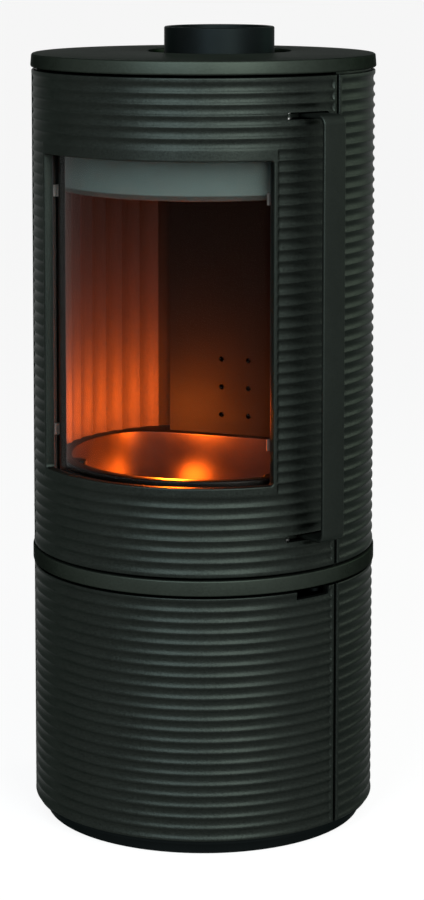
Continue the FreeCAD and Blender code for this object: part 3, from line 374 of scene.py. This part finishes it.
def casting(across, height, rows, openings):
    """A fluted casting as a closed shell: crest radius less the flutes and the rounded edges, over a grid.

    The outer face is a height field over the unrolled casting; cells inside an opening are left out, the
    inner face is a plain cylinder on the coarser lines, and upright walls join the two along every rim.
    """
    grid_x, grid_z = np.meshgrid(across, height, indexing="ij")
    for opening in openings:
        near = box_distance(grid_x, grid_z, opening) < corner_reach
        moved_x, moved_z = round_corners(grid_x, grid_z, opening)
        grid_x, grid_z = np.where(near, moved_x, grid_x), np.where(near, moved_z, grid_z)
    rim = np.minimum(np.minimum(grid_x - across[0], across[-1] - grid_x),
                     np.minimum(grid_z - height[0], height[-1] - grid_z))
    keep = np.ones((len(across) - 1, len(height) - 1), bool)
    middle_x = (across[1:] + across[:-1])[:, None] / 2
    middle_z = (height[1:] + height[:-1])[None, :] / 2
    for opening in openings:
        rim = np.minimum(rim, box_distance(grid_x, grid_z, opening))
        left, right, base, top = opening[:4]
        keep &= ~((middle_x > left) & (middle_x < right) & (middle_z > base) & (middle_z < top))
    inside = np.clip(edge_round - rim, 0, edge_round)
    drop = edge_round - np.sqrt(edge_round ** 2 - inside ** 2)
    radius = body_radius - np.maximum(flute_cut(grid_x, grid_z, rows), drop)
    angle = grid_x / body_radius

    marks_u = coarse_numbers(across, [mark for opening in openings for mark in opening[:2]])
    marks_v = coarse_numbers(height, [mark for opening in openings for mark in opening[2:4]])
    inner = polar(inner_radius, angle[np.ix_(marks_u, marks_v)], grid_z[np.ix_(marks_u, marks_v)])
    outer = polar(radius, angle, grid_z)
    rows_v, inner_v, start = len(height), len(marks_v), outer.shape[0] * outer.shape[1]
    faces = grid_quads(len(across), rows_v)[keep.ravel()].tolist()
    kept = keep[np.ix_(marks_u[:-1], marks_v[:-1])]
    faces += (grid_quads(len(marks_u), inner_v)[kept.ravel()][:, ::-1] + start).tolist()

    padded = np.pad(kept, 1).astype(int)
    for u, v in np.argwhere(np.diff(padded[:, 1:-1], axis=0)):
        run = marks_u[u] * rows_v + np.arange(marks_v[v], marks_v[v + 1] + 1)
        wall = [*run, start + u * inner_v + v + 1, start + u * inner_v + v]
        faces.append([int(number) for number in (wall if padded[u + 1, v + 1] else wall[::-1])])
    for u, v in np.argwhere(np.diff(padded[1:-1, :], axis=1)):
        run = np.arange(marks_u[u], marks_u[u + 1] + 1) * rows_v + marks_v[v]
        wall = [*run, start + (u + 1) * inner_v + v, start + u * inner_v + v]
        faces.append([int(number) for number in (wall[::-1] if padded[u + 1, v + 1] else wall)])
    return used_points(np.concatenate([outer.reshape(-1, 3), inner.reshape(-1, 3)]), faces)


def first_flute(base, top, count):
    """The lowest flute's level, with the column centred on its casting."""
    return base + (top - base - (count - 1) * flute_pitch) / 2


def hinge_bosses(base, top):
    """Two upright oval bosses behind the door's hinged edge: ellipses drawn up into short columns."""
    turn = np.linspace(0, 2 * np.pi, boss_points, endpoint=False)[:, None]
    out = inner_radius + boss_half_depth * np.cos(turn)
    angle = hinge_angle + boss_half_width * np.sin(turn) / inner_radius
    ring = np.arange(boss_points) * 2
    faces = grid_quads(boss_points, 2, True, False).tolist() + [ring[::-1].tolist(), (ring + 1).tolist()]
    ends = (base, base + boss_height), (top - boss_height, top)
    return [(polar(out, angle, np.array([[low + skin, high - skin]])), faces) for low, high in ends]


def handle_arm_levels():
    """The lower and upper level of each handle arm."""
    low, high = level("handle_bar")
    return (low, low + handle_thickness), (high - handle_thickness, high)


def fire_door_casting():
    """The fire door: window, two handle slots, full flutes above and below, short ones beside the window."""
    edge = door_half_angle * body_radius
    window = window_half_angle * body_radius
    first = first_flute(upper_base, upper_top, upper_flutes)
    glass_base, glass_top = level("door_glass")
    openings = [(-window, window, glass_base + glass_overlap, glass_top - glass_overlap, window_corner)]
    for arm_base, arm_top in handle_arm_levels():
        arm = (arm_base + arm_top) / 2
        openings.append((slot_start * body_radius, slot_end * body_radius,
                         arm - slot_height / 2, arm + slot_height / 2, slot_height / 2))
    end = edge - flute_edge
    beside = window + window_border + flute_width / 2
    rows = [
        (first, flutes_below, -end, end),
        (first + flutes_below * flute_pitch, flutes_beside, -end, -beside),
        (first + flutes_below * flute_pitch, flutes_beside, beside, end),
        (first + (flutes_below + flutes_beside) * flute_pitch,
         upper_flutes - flutes_below - flutes_beside, -end, end),
    ]
    sides = [mark for opening in openings[:2] for mark in opening[:2]]
    ends = [mark for opening in openings for mark in opening[2:4]]
    across = panel_lines(-edge, edge, sides, door_step)
    height = flute_lines(upper_base, upper_top, first, ends)
    shell = casting(across, height, rows, openings)
    points, faces = joined(shell, *hinge_bosses(upper_base, upper_top))
    made("fluted_fire_door", points, faces, "cast_iron", "fire_door", ["door_casting"])


def lower_door_casting():
    """The lower door: full flutes, and a notch in its upper edge for a fingertip on the air lever."""
    edge = door_half_angle * body_radius
    first = first_flute(casing_base, lower_top, lower_flutes)
    notch = (notch_start * body_radius, notch_end * body_radius,
             lower_top - notch_depth, lower_top + notch_depth, edge_round)
    end = edge - flute_edge
    rows = [(first, lower_flutes, -end, end)]
    across = panel_lines(-edge, edge, notch[:2], door_step)
    height = flute_lines(lower_base, lower_top, first, notch[2:3])
    shell = casting(across, height, rows, [notch])
    points, faces = joined(shell, *hinge_bosses(lower_base, lower_top))
    made("fluted_lower_door", points, faces, "cast_iron", "lower_door", ["lower_door_casting"])


def rear_casings(floor, base, top, count, lips):
    """Three fixed castings round the back, parted by upright seams, with plain lips inside the shadow gaps.

    The flutes run straight through the two seams and end round at the doors.
    """
    panels = len(casing_sides)
    step = (2 * math.pi - 2 * casing_angle) / panels * body_radius
    start = casing_angle * body_radius
    end = start + panels * step
    first = first_flute(base, top, count)
    rows = [(first, count, start + flute_edge, end - flute_edge)]
    height = flute_lines(base, top, first, [])
    for number, side in enumerate(casing_sides):
        left = start + number * step + (panel_seam / 2 if number > 0 else 0)
        right = start + (number + 1) * step - (panel_seam / 2 if number < panels - 1 else 0)
        across = panel_lines(left, right, [], casing_step)
        shapes = [casting(across, height, rows, [])]
        for low, high in lips:
            profile = [(inner_radius + skin, low), (inner_radius + lip_thickness, low),
                       (inner_radius + lip_thickness, high), (inner_radius + skin, high)]
            shapes.append(arc_bar(profile, left / body_radius, right / body_radius, lip_points))
        points, faces = joined(*shapes)
        node = f"{floor}_{side}_casing"
        made(f"fluted_{node}", points, faces, "cast_iron", "stove_body", [node])


# Plates and collar

def middle_plate():
    """The plate between the castings: a ring with rounded edges."""
    low, high = level("mid_plate")
    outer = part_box("mid_plate")[1].x
    profile = rounded([(mid_hole, low), (outer, low), (outer, high), (mid_hole, high)],
                      [mid_hole_edge, mid_rim_edge, mid_rim_edge, mid_hole_edge])
    points, faces = spun(profile)
    made("middle_ring_plate", points, faces, "cast_iron", "stove_body", ["mid_plate"], finish="plate_paint")


def top_plate():
    """The top plate: a round-cornered outline swept between the rim and the flue's eccentric opening.

    An outline point's place runs from 0, at the opening, to 1, at the rim. Places past a half follow the
    rim's circle, which draws in towards the top, and the others follow the opening's circle.
    """
    low, high = level("top_plate")
    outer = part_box("top_plate")[1].x
    deep = high - low
    profile = rounded([(0, 0), (1, 0), (1, deep), (0, deep)],
                      [plate_foot_edge, plate_edge, plate_edge, plate_edge], 7)
    place, lift = profile.T
    draft = plate_draft * lift / deep
    angle = np.linspace(0, 2 * np.pi, plate_points, endpoint=False)[:, None]
    rim = polar(outer - draft - np.clip(1 - place, 0, None), angle, low + lift)
    hole = polar(aperture_radius + place, angle, low + lift) + np.array([0.0, flue_back, 0.0])
    points = np.where((place < 0.5)[None, :, None], hole, rim)
    faces = grid_quads(plate_points, len(profile), True, True).tolist()
    made("top_ring_plate", points, faces, "cast_iron", "stove_body", ["top_plate"], finish="plate_paint")


def flue_collar():
    """The flue collar: an L-shaped outline, flange and spigot, spun about the flue's axis."""
    low, high = level("flue_collar")
    corners = np.array([
        (flue_bore, low, flange_edge),
        (flange_radius, low, flange_edge),
        (flange_radius, low + flange_height, flange_rim_edge),
        (spigot_radius, low + flange_height, spigot_foot),
        (spigot_radius, high, spigot_edge),
        (flue_bore, high, spigot_edge),
    ])
    points, faces = spun(rounded(corners[:, :2], corners[:, 2]), (0.0, flue_back), collar_points)
    made("flue_collar_casting", points, faces, "dark_iron", "stove_body", ["flue_collar"])


# Handle

def eye_arm(base, top, eye_across, eye_out):
    """A flat arm from the strip to the latch shaft: an outline with a round end, drawn up between levels."""
    left, right = eye_across - eye_radius, -handle_width / 2 + arm_overlap
    near, far = eye_out - eye_radius, eye_out + eye_radius
    outline = rounded([(left, near), (right, near), (right, far), (left, far)],
                      [eye_round, arm_edge, arm_edge, eye_round], 8)
    heights = np.array([[base + arm_skin, top - arm_skin]])
    points = np.stack(np.broadcast_arrays(outline[:, :1], -outline[:, 1:], heights), axis=-1)
    ends = np.arange(len(outline)) * 2
    walls = grid_quads(len(outline), 2, True, False)[:, ::-1].tolist()
    return points, walls + [ends.tolist(), (ends + 1)[::-1].tolist()]


def handle():
    """The handle: a rounded strip section carried along a C-shaped path, with an eye arm at each end.

    The path runs out along the lower arm, round a quarter bend, up the bar and back along the upper arm.
    """
    arms = handle_arm_levels()
    low, high = arms[0][0], arms[1][1]
    eye_across = shaft_out * math.sin(-shaft_turn)
    eye_out = shaft_out * math.cos(shaft_turn)
    inside = eye_out - eye_radius
    middle = handle_thickness / 2
    bend = handle_bend + middle
    bend_out = body_radius + handle_reach - middle - bend
    quarter = np.linspace(0, np.pi / 2, 10)
    sine, cosine = bend * np.sin(quarter), bend * np.cos(quarter)
    lower_arc = np.stack([bend_out + sine, low + middle + bend - cosine], axis=1)
    upper_arc = np.stack([bend_out + cosine, high - middle - bend + sine], axis=1)
    path = np.concatenate([[(inside, low + middle)], lower_arc, upper_arc, [(inside, high - middle)]])
    along = np.gradient(path, axis=0)
    along[[0, -1]] = [[1, 0], [-1, 0]]
    along /= np.linalg.norm(along, axis=1, keepdims=True)
    normal = np.stack([along[:, 1], -along[:, 0]], axis=1)
    half = handle_width / 2
    section = rounded([(-half, -middle), (half, -middle), (half, middle), (-half, middle)], handle_edge, 5)
    out = path[:, None, 0] + normal[:, None, 0] * section[None, :, 1]
    height = path[:, None, 1] + normal[:, None, 1] * section[None, :, 1]
    across = np.broadcast_to(section[None, :, 0], out.shape)
    ring = np.arange(len(section))
    faces = grid_quads(len(path), len(section), False, True)[:, ::-1].tolist()
    faces += [ring.tolist(), (ring + (len(path) - 1) * len(section))[::-1].tolist()]
    strip = np.stack([across, -out, height], axis=-1), faces
    points, faces = joined(strip, *(eye_arm(base, top, eye_across, eye_out) for base, top in arms))
    turn = np.array([[math.cos(handle_angle), math.sin(handle_angle), 0],
                     [-math.sin(handle_angle), math.cos(handle_angle), 0], [0, 0, 1]])
    made("handle_strip", points @ turn, faces, "handle_paint", "door_handle", ["handle_bar"])


# Fire bowl and linings

def bowl_ring(angle, radius, back):
    """Polar radius of a round bowl with a flat back: a high-power mean of the circle and the flat.

    Without a flat back the ring is a plain circle.
    """
    if back is None:
        return np.full_like(angle, radius)
    facing = np.maximum(-np.cos(angle), least_facing)
    return (radius ** -bowl_blend + (back / facing) ** -bowl_blend) ** (-1 / bowl_blend)


def fire_bowl():
    """The fire bowl: rings from the grate's throat over the floor, up the wall, over the rim, down the skirt.

    Each ring has its own outline and level, and neighbouring rings are joined all the way round. Two round
    lugs at the rim reach in past the wall.
    """
    skirt, rim_top = level("fire_bowl")
    rim_under = rim_top - bowl_wall
    floor_level = rim_top - bowl_depth
    under = floor_level - bowl_wall
    turn = np.linspace(0, np.pi / 2, 7)
    rings = [
        (throat_radius, None, under),
        (throat_radius, None, floor_level - grate_thickness),
        (seat_radius, None, floor_level - grate_thickness),
        (seat_radius, None, floor_level),
    ]
    for bend in turn:
        inset = floor_fillet * (1 - math.sin(bend))
        rise = floor_fillet * (1 - math.cos(bend))
        rings.append((bowl_radius - inset, bowl_back - inset, floor_level + rise))
    for bend in turn[::2]:
        out = rim_round * (1 - math.cos(bend))
        rings.append((bowl_radius + out, bowl_back + out, rim_top - rim_round * (1 - math.sin(bend))))
    for bend in turn[::2]:
        out = rim_round * (1 - math.sin(bend))
        rings.append((rim_radius - out, None, rim_top - rim_round * (1 - math.cos(bend))))
    rings += [
        (rim_radius, None, rim_under),
        (bowl_radius + bowl_wall, bowl_back + bowl_wall, rim_under),
        (bowl_radius + bowl_wall, bowl_back + bowl_wall, skirt),
        (bowl_radius, bowl_back, skirt),
        (bowl_radius, bowl_back, under),
    ]
    angle = np.linspace(0, 2 * np.pi, bowl_points, endpoint=False)
    radius = np.stack([bowl_ring(angle, ring[0], ring[1]) for ring in rings[::-1]], axis=1)
    heights = np.array([ring[2] for ring in rings[::-1]])[None, :]
    bowl = polar(radius, angle[:, None], heights), grid_quads(bowl_points, len(rings), True, True).tolist()
    lug_base, lug_top = rim_under + lug_foot, rim_top - lug_drop
    lug = rounded([(0.0, lug_base), (lug_radius, lug_base), (lug_radius, lug_top), (0.0, lug_top)],
                  [lug_axis_edge, lug_foot_edge, lug_rim_edge, lug_axis_edge], 5)
    lugs = [spun(lug, polar(bowl_radius, side, 0.0)[:2], lug_points) for side in (-lug_angle, lug_angle)]
    points, faces = joined(bowl, *lugs)
    made("round_fire_bowl", points, faces, "bowl_iron", "stove_body", ["fire_bowl"], bowl_smooth_angle)


def side_lining(side, start, end):
    """A side lining: a curved slab whose inner face is a row of troughs, parabolas between sharp ridges."""
    node = f"side_lining_{side}"
    low, high = level(node)
    count = scallop_count * scallop_steps + 1
    share = np.arange(count) % scallop_steps / scallop_steps
    face = lining_face + scallop_depth * (1 - (2 * share - 1) ** 2)
    back = np.full_like(face, lining_back)
    radius = np.stack([face, back, back, face], axis=1)
    height = np.broadcast_to([low, low, high, high], radius.shape)
    points, faces = arc_bar(np.stack([radius, height], axis=-1), start, end, count)
    made(f"scalloped_{side}_lining", points, faces, "lining", "stove_body", [node], lining_smooth_angle)


# Seals and the air wash plate

def frame_path(half_angle, low, high, corner, radius, step):
    """Centre line of a seal: a round-cornered rectangle of angle and height, bent round the body."""
    side = half_angle * radius
    outline = rounded([(-side, low), (side, low), (side, high), (-side, high)], corner, 9)
    outline = np.concatenate([outline, outline[:1]])
    run = np.append(0, np.cumsum(np.linalg.norm(np.diff(outline, axis=0), axis=1)))
    place = np.linspace(0, run[-1], round(run[-1] / step), endpoint=False)
    return np.stack([np.interp(place, run, outline[:, way]) for way in (0, 1)], axis=1), place


def seal(name, node, finish, around, inset, half_angle, corner, radius, half_width, half_depth, strand,
         step):
    """A woven seal: an oval section carried round a frame, its radius waved by two crossing spirals.

    The frame lies inside the levels of the node it goes around, by an inset. The wave is
    cosine(strands x turn + run) x cosine(strands x turn - run), which gives a braid's lozenges.
    """
    low, high = level(around)
    line, place = frame_path(half_angle, low + inset, high - inset, corner, radius, step)
    along = np.roll(line, -1, axis=0) - np.roll(line, 1, axis=0)
    along /= np.linalg.norm(along, axis=1, keepdims=True)
    turn = np.linspace(0, 2 * np.pi, braid_points, endpoint=False)[None, :]
    run = (place * 2 * np.pi / strand)[:, None]
    swell = braid_mean + braid_wave * np.cos(2 * turn + run) * np.cos(2 * turn - run)
    outward = half_width * np.cos(turn) * swell
    depth = half_depth * np.sin(turn) * swell
    across = line[:, :1] + along[:, 1:] * outward
    height = line[:, 1:] - along[:, :1] * outward
    points = polar(radius + depth, across / radius, height)
    faces = grid_quads(len(place), braid_points, True, True)[:, ::-1].tolist()
    made(name, points, faces, "rope", "fire_door", [node], braid_smooth_angle, finish)


def air_wash_plate():
    """The curved plate that washes the window with air: an angle section with a bevelled lower edge."""
    low, high = level("air_wash_plate")
    corners = np.array([
        (wash_face, low + wash_bevel, bevel_edge),
        (wash_face - wash_bevel / 2, low, wash_edge),
        (wash_face - wash_lip, low, wash_edge),
        (wash_face - wash_lip, low + wash_thickness, wash_edge),
        (wash_face - wash_thickness, low + wash_thickness, wash_bend),
        (wash_face - wash_thickness, high, wash_edge),
        (wash_face, high, wash_edge),
    ])
    profile = rounded(corners[:, :2], corners[:, 2])
    points, faces = arc_bar(profile[::-1], -wash_half_angle, wash_half_angle, wash_points)
    made("air_wash_band", points, faces, "baffle_grey", "stove_body", ["air_wash_plate"])


# Finishes

noise_low, noise_high = 0.3, 0.7
cloud_size = 0.05
# Height over which the painted shade on the air wash plate fades in
painted_shade_blend = 0.001
edge_sheen = (0.47, 0.48, 0.475)
dull_edge = (0.06, 0.062, 0.061)
# Share of the colour kept under the painted shade on the air wash plate's lower bevel
wash_painted_shade = 0.4


def node_maker(name):
    """A new material, its node tree and a short way to add a node with its settings."""
    material = bpy.data.materials.new(name)
    material.use_nodes = True
    tree = material.node_tree
    tree.nodes.clear()

    def add(kind, **settings):
        made_node = tree.nodes.new(kind)
        for key, value in settings.items():
            if hasattr(made_node, key):
                setattr(made_node, key, value)
            else:
                made_node.inputs[key.replace("_", " ")].default_value = value
        return made_node

    return material, tree, add


def grained(name, dark, light, rough, grain, grain_size, depth, metal=0.0, shine=0.3, shine_tint=(1, 1, 1),
            painted_shade=None):
    """A metal or mineral finish: clouded colour, uneven gloss and a fine grain in relief.

    A painted shade (height, share) darkens the colour below a height to a share: shade painted into the
    colour, not cast by a lamp.
    """
    material, tree, add = node_maker(name)
    link = tree.links.new
    place = add("ShaderNodeTexCoord")
    clouds = add("ShaderNodeTexNoise", Scale=1 / cloud_size, Detail=5.0, Roughness=0.6)
    fine = add("ShaderNodeTexNoise", Scale=1 / grain_size, Detail=3.0, Roughness=0.55)
    for texture in (clouds, fine):
        link(place.outputs["Object"], texture.inputs["Vector"])
    mix = add("ShaderNodeMix", data_type="FLOAT", Factor=grain)
    link(clouds.outputs["Fac"], mix.inputs["A"])
    link(fine.outputs["Fac"], mix.inputs["B"])
    ramp = add("ShaderNodeValToRGB")
    for stop, position, tone in zip(ramp.color_ramp.elements, (noise_low, noise_high), (dark, light)):
        stop.position = position
        stop.color = (*tone, 1)
    link(mix.outputs["Result"], ramp.inputs["Fac"])
    gloss = add("ShaderNodeMapRange", From_Min=noise_low, From_Max=noise_high,
                To_Min=rough[0], To_Max=rough[1])
    link(mix.outputs["Result"], gloss.inputs["Value"])
    bump = add("ShaderNodeBump", Strength=0.6, Distance=depth)
    link(fine.outputs["Fac"], bump.inputs["Height"])
    shader = add("ShaderNodeBsdfPrincipled", Metallic=metal, Specular_IOR_Level=shine,
                 Specular_Tint=(*shine_tint, 1))
    colour = ramp.outputs["Color"]
    # Painted shade: below the given height the colour is scaled down to a share, standing in for shadow
    if painted_shade:
        parts = add("ShaderNodeSeparateXYZ")
        link(place.outputs["Object"], parts.inputs["Vector"])
        keep = add("ShaderNodeMapRange", From_Min=painted_shade[0], From_Max=painted_shade[0] + painted_shade_blend, To_Min=painted_shade[1])
        link(parts.outputs["Z"], keep.inputs["Value"])
        painted_shade_colour = add("ShaderNodeVectorMath", operation="SCALE")
        link(colour, painted_shade_colour.inputs["Vector"])
        link(keep.outputs["Result"], painted_shade_colour.inputs["Scale"])
        colour = painted_shade_colour.outputs["Vector"]
    link(colour, shader.inputs["Base Color"])
    link(gloss.outputs["Result"], shader.inputs["Roughness"])
    link(bump.outputs["Normal"], shader.inputs["Normal"])
    output = add("ShaderNodeOutputMaterial")
    link(shader.outputs["BSDF"], output.inputs["Surface"])
    return material


def glass_finish():
    """Thin tinted stove glass: mostly see-through, with a mirror sheen that grows at a slant."""
    material, tree, add = node_maker("window_glass")
    link = tree.links.new
    place = add("ShaderNodeTexCoord")
    haze = add("ShaderNodeTexNoise", Scale=18.0, Detail=4.0, Roughness=0.6)
    link(place.outputs["Object"], haze.inputs["Vector"])
    rough = add("ShaderNodeMapRange", To_Min=0.02, To_Max=0.09)
    link(haze.outputs["Fac"], rough.inputs["Value"])
    clear = add("ShaderNodeBsdfTransparent", Color=(0.90, 0.90, 0.89, 1))
    sheen = add("ShaderNodeBsdfGlossy")
    link(rough.outputs["Result"], sheen.inputs["Roughness"])
    slant = add("ShaderNodeFresnel", IOR=1.09)
    path = add("ShaderNodeLightPath")
    lit = add("ShaderNodeMath", operation="SUBTRACT", use_clamp=True)
    link(slant.outputs["Fac"], lit.inputs[0])
    link(path.outputs["Is Shadow Ray"], lit.inputs[1])
    mix = add("ShaderNodeMixShader")
    link(lit.outputs["Value"], mix.inputs["Fac"])
    link(clear.outputs["BSDF"], mix.inputs[1])
    link(sheen.outputs["BSDF"], mix.inputs[2])
    output = add("ShaderNodeOutputMaterial")
    link(mix.outputs["Shader"], output.inputs["Surface"])
    return material


grained_finishes = {
    "cast_iron": dict(
        dark=(0.0088, 0.0108, 0.0094), light=(0.0190, 0.0231, 0.0200), rough=(0.40, 0.48),
        grain=0.8, grain_size=0.0022, depth=0.0004, metal=1.0, shine_tint=edge_sheen),
    "plate_paint": dict(
        dark=(0.0178, 0.0222, 0.0180), light=(0.0252, 0.0313, 0.0255), rough=(0.46, 0.56),
        grain=0.6, grain_size=0.0026, depth=0.0003, metal=1.0, shine_tint=dull_edge),
    "dark_iron": dict(
        dark=(0.0040, 0.0052, 0.0052), light=(0.0062, 0.0081, 0.0082), rough=(0.46, 0.58),
        grain=0.5, grain_size=0.0014, depth=0.0002, metal=1.0, shine_tint=edge_sheen),
    "firebox_steel": dict(
        dark=(0.0030, 0.0035, 0.0034), light=(0.0055, 0.0063, 0.0062), rough=(0.5, 0.65),
        grain=0.4, grain_size=0.003, depth=0.0002, shine=0.0),
    "bowl_iron": dict(
        dark=(0.0072, 0.0066, 0.0061), light=(0.0120, 0.0110, 0.0103), rough=(0.36, 0.44),
        grain=0.3, grain_size=0.004, depth=0.00005, metal=1.0, shine_tint=edge_sheen),
    "lining": dict(
        dark=(0.0050, 0.0049, 0.0048), light=(0.0150, 0.0146, 0.0143), rough=(0.5, 0.62),
        grain=0.8, grain_size=0.0030, depth=0.0010, shine=0.07),
    "rear_lining": dict(
        dark=(0.0017, 0.0022, 0.0022), light=(0.0034, 0.0044, 0.0044), rough=(0.55, 0.68),
        grain=0.6, grain_size=0.0026, depth=0.0004, shine=0.0),
    "baffle_grey": dict(
        dark=(0.040, 0.056, 0.053), light=(0.058, 0.081, 0.077), rough=(0.5, 0.62),
        grain=0.5, grain_size=0.0015, depth=0.0002, shine=0.1,
        # Painted shade on the lower bevel band, standing in for the shadow along the plate's downturned edge
        painted_shade=(level("air_wash_plate")[0] + wash_bevel, wash_painted_shade)),
    "bright_steel": dict(
        dark=(0.18, 0.175, 0.17), light=(0.26, 0.255, 0.25), rough=(0.32, 0.44),
        grain=0.4, grain_size=0.002, depth=0.0001, metal=1.0),
    "handle_paint": dict(
        dark=(0.0115, 0.0142, 0.0122), light=(0.0180, 0.0220, 0.0190), rough=(0.42, 0.52),
        grain=0.7, grain_size=0.0016, depth=0.0002, metal=1.0, shine_tint=edge_sheen),
    "graphite_tape": dict(
        dark=(0.010, 0.010, 0.010), light=(0.020, 0.020, 0.020), rough=(0.8, 0.9),
        grain=0.6, grain_size=0.0012, depth=0.0003, shine=0.05),
    "rope": dict(
        dark=(0.016, 0.016, 0.016), light=(0.034, 0.034, 0.033), rough=(0.85, 0.95),
        grain=0.6, grain_size=0.0012, depth=0.0004, shine=0.1),
}
finishes = {name: grained(name, **settings) for name, settings in grained_finishes.items()}
finishes["window_glass"] = glass_finish()


# The object

# CAD pieces whose finish is darker than that of their slot
darkened = {"rear_lining": "rear_lining", "air_lever": "dark_iron"}
for subpart in frame["record"]["subparts"]:
    node = frame["nodes"][subpart["node"]]
    node.data.materials.clear()
    node.data.materials.append(finishes[darkened.get(subpart["node"], subpart["material_slot"])])

mid_plate_base, mid_plate_top = level("mid_plate")
upper_lips = [(mid_plate_top, upper_base + lip_overlap), (upper_top - lip_overlap, level("top_plate")[0])]
lower_lips = [(lower_top - lip_overlap, mid_plate_base)]
fire_door_casting()
lower_door_casting()
rear_casings("upper", upper_base, upper_top, upper_flutes, upper_lips)
rear_casings("lower", casing_base, lower_top, lower_flutes, lower_lips)
middle_plate()
top_plate()
flue_collar()
handle()
fire_bowl()
side_lining("right", lining_start, lining_end)
side_lining("left", -lining_end, -lining_start)
air_wash_plate()
seal("door_rope", "door_rope_seal", "rope", around="door_rope_seal", inset=0.0045,
     half_angle=math.radians(47.95), corner=0.007, radius=0.21372, half_width=0.0039, half_depth=0.0051,
     strand=0.009, step=0.0011)
seal("glass_tape", "glass_seal", "graphite_tape", around="door_glass", inset=0.002,
     half_angle=math.radians(44.3), corner=0.004, radius=0.21795, half_width=0.0018, half_depth=0.00095,
     strand=0.004, step=0.0009)


# Floor, light and camera

floor_reach, floor_points = 60.0, 64
floor_pale = 0.86
floor_white, world_white = 0.9, 1.0
world_strength = 0.25
left_tint = (0.88, 1.0, 1.10)
right_tint = (0.94, 1.0, 0.99)
side_tint = (1.0, 0.98, 0.88)
ember_tint = (1.0, 0.125, 0.006)
ember_size = 0.018


def white_to_camera(kind, tree, lit, share):
    """Mix a lit shader with plain white that only camera, mirror and glass rays see, by a share."""
    path = tree.nodes.new("ShaderNodeLightPath")
    seen = path.outputs["Is Camera Ray"]
    for ray in ("Is Glossy Ray", "Is Transmission Ray"):
        either = tree.nodes.new("ShaderNodeMath")
        either.operation = "MAXIMUM"
        tree.links.new(seen, either.inputs[0])
        tree.links.new(path.outputs[ray], either.inputs[1])
        seen = either.outputs["Value"]
    part = tree.nodes.new("ShaderNodeMath")
    part.operation = "MULTIPLY"
    part.inputs[1].default_value = share
    tree.links.new(seen, part.inputs[0])
    white = tree.nodes.new(kind)
    white.inputs["Strength"].default_value = 1.0
    white.inputs["Color"].default_value = (1, 1, 1, 1)
    mix = tree.nodes.new("ShaderNodeMixShader")
    tree.links.new(part.outputs["Value"], mix.inputs["Fac"])
    tree.links.new(lit, mix.inputs[1])
    tree.links.new(white.outputs[0], mix.inputs[2])
    return mix.outputs["Shader"]


def floor():
    """A plain pale floor, a disc that keeps a little of the stove's shadow."""
    mesh = bpy.data.meshes.new("floor")
    ring = polar(floor_reach, np.linspace(0, 2 * np.pi, floor_points, endpoint=False), 0.0)
    mesh.from_pydata(ring.tolist(), [], [list(range(floor_points))])
    material, tree, add = node_maker("pale_floor")
    pale = add("ShaderNodeBsdfDiffuse", Color=(floor_pale, floor_pale, floor_pale, 1))
    output = add("ShaderNodeOutputMaterial")
    surface = white_to_camera("ShaderNodeEmission", tree, pale.outputs["BSDF"], floor_white)
    tree.links.new(surface, output.inputs["Surface"])
    mesh.materials.append(material)
    sheet = linked("floor", mesh)


def studio():
    """An even pale surrounding that is white to the camera."""
    world = bpy.data.worlds.new("studio")
    world.use_nodes = True
    tree = world.node_tree
    tree.nodes.clear()
    even = tree.nodes.new("ShaderNodeBackground")
    even.inputs["Color"].default_value = (1, 1, 1, 1)
    even.inputs["Strength"].default_value = world_strength
    output = tree.nodes.new("ShaderNodeOutputWorld")
    surface = white_to_camera("ShaderNodeBackground", tree, even.outputs["Background"], world_white)
    tree.links.new(surface, output.inputs["Surface"])
    bpy.context.scene.world = world


def lamp_at(name, kind, place, power, tint):
    """A lamp of some kind that the camera doesn't see."""
    data = bpy.data.lights.new(name, kind)
    data.energy = power
    data.color = tint
    lamp = linked(name, data)
    lamp.location = place
    lamp.visible_camera = False
    return lamp


def soft_lamp(name, distance, bearing, height, aim_height, size, power, tint):
    """A soft lamp, as wide and high as its size, turned towards a point on the stove's axis.

    Its place is given by a distance, a bearing in degrees from the front and a height.
    """
    place = polar(distance, math.radians(bearing), height)
    lamp = lamp_at(name, "AREA", place, power, tint)
    lamp.data.shape = "RECTANGLE"
    lamp.data.size, lamp.data.size_y = size
    away = np.array([0, 0, aim_height]) - place
    across = math.hypot(away[0], away[1])
    lamp.rotation_euler = (math.atan2(across, -away[2]), 0, math.atan2(-away[0], away[1]))


def ember_lamp(name, place, power):
    """A small warm lamp in the bowl or over it, for the glow of a fire."""
    lamp = lamp_at(name, "POINT", place, power, ember_tint)
    lamp.data.shadow_soft_size = ember_size


def camera():
    """The photograph's view: slightly from the right and above, with its frame lowered by shift."""
    azimuth, pitch = math.radians(20.8), math.radians(6.0)
    distance, height = 3.4572, 1.1956
    pixels_tall, focal_pixels = 900, 2582.9
    data = bpy.data.cameras.new("photograph")
    data.lens = focal_pixels * data.sensor_width / pixels_tall
    data.shift_x, data.shift_y = 0.0096, -0.28
    view = linked("photograph", data)
    view.location = (distance * math.sin(azimuth), -distance * math.cos(azimuth), height)
    view.rotation_euler = (math.pi / 2 - pitch, 0, azimuth)
    bpy.context.scene.camera = view


floor()
studio()
soft_lamp("left_key", distance=2.0, bearing=-1.0, height=1.9, aim_height=0.5, size=(0.9, 2.2), power=62,
          tint=left_tint)
soft_lamp("right_key", distance=2.2, bearing=44.0, height=1.8, aim_height=0.45, size=(1.1, 2.0), power=82,
          tint=right_tint)
soft_lamp("side_lamp", distance=2.4, bearing=136.0, height=1.4, aim_height=0.6, size=(0.6, 1.4), power=26,
          tint=side_tint)
ember_lamp("ember_lamp", place=(-0.066, 0.078, 0.424), power=7.0)
ember_lamp("glow_lamp", place=(-0.064, 0.050, 0.512), power=20.0)
camera()
bpy.context.scene.view_settings.view_transform = "Standard"
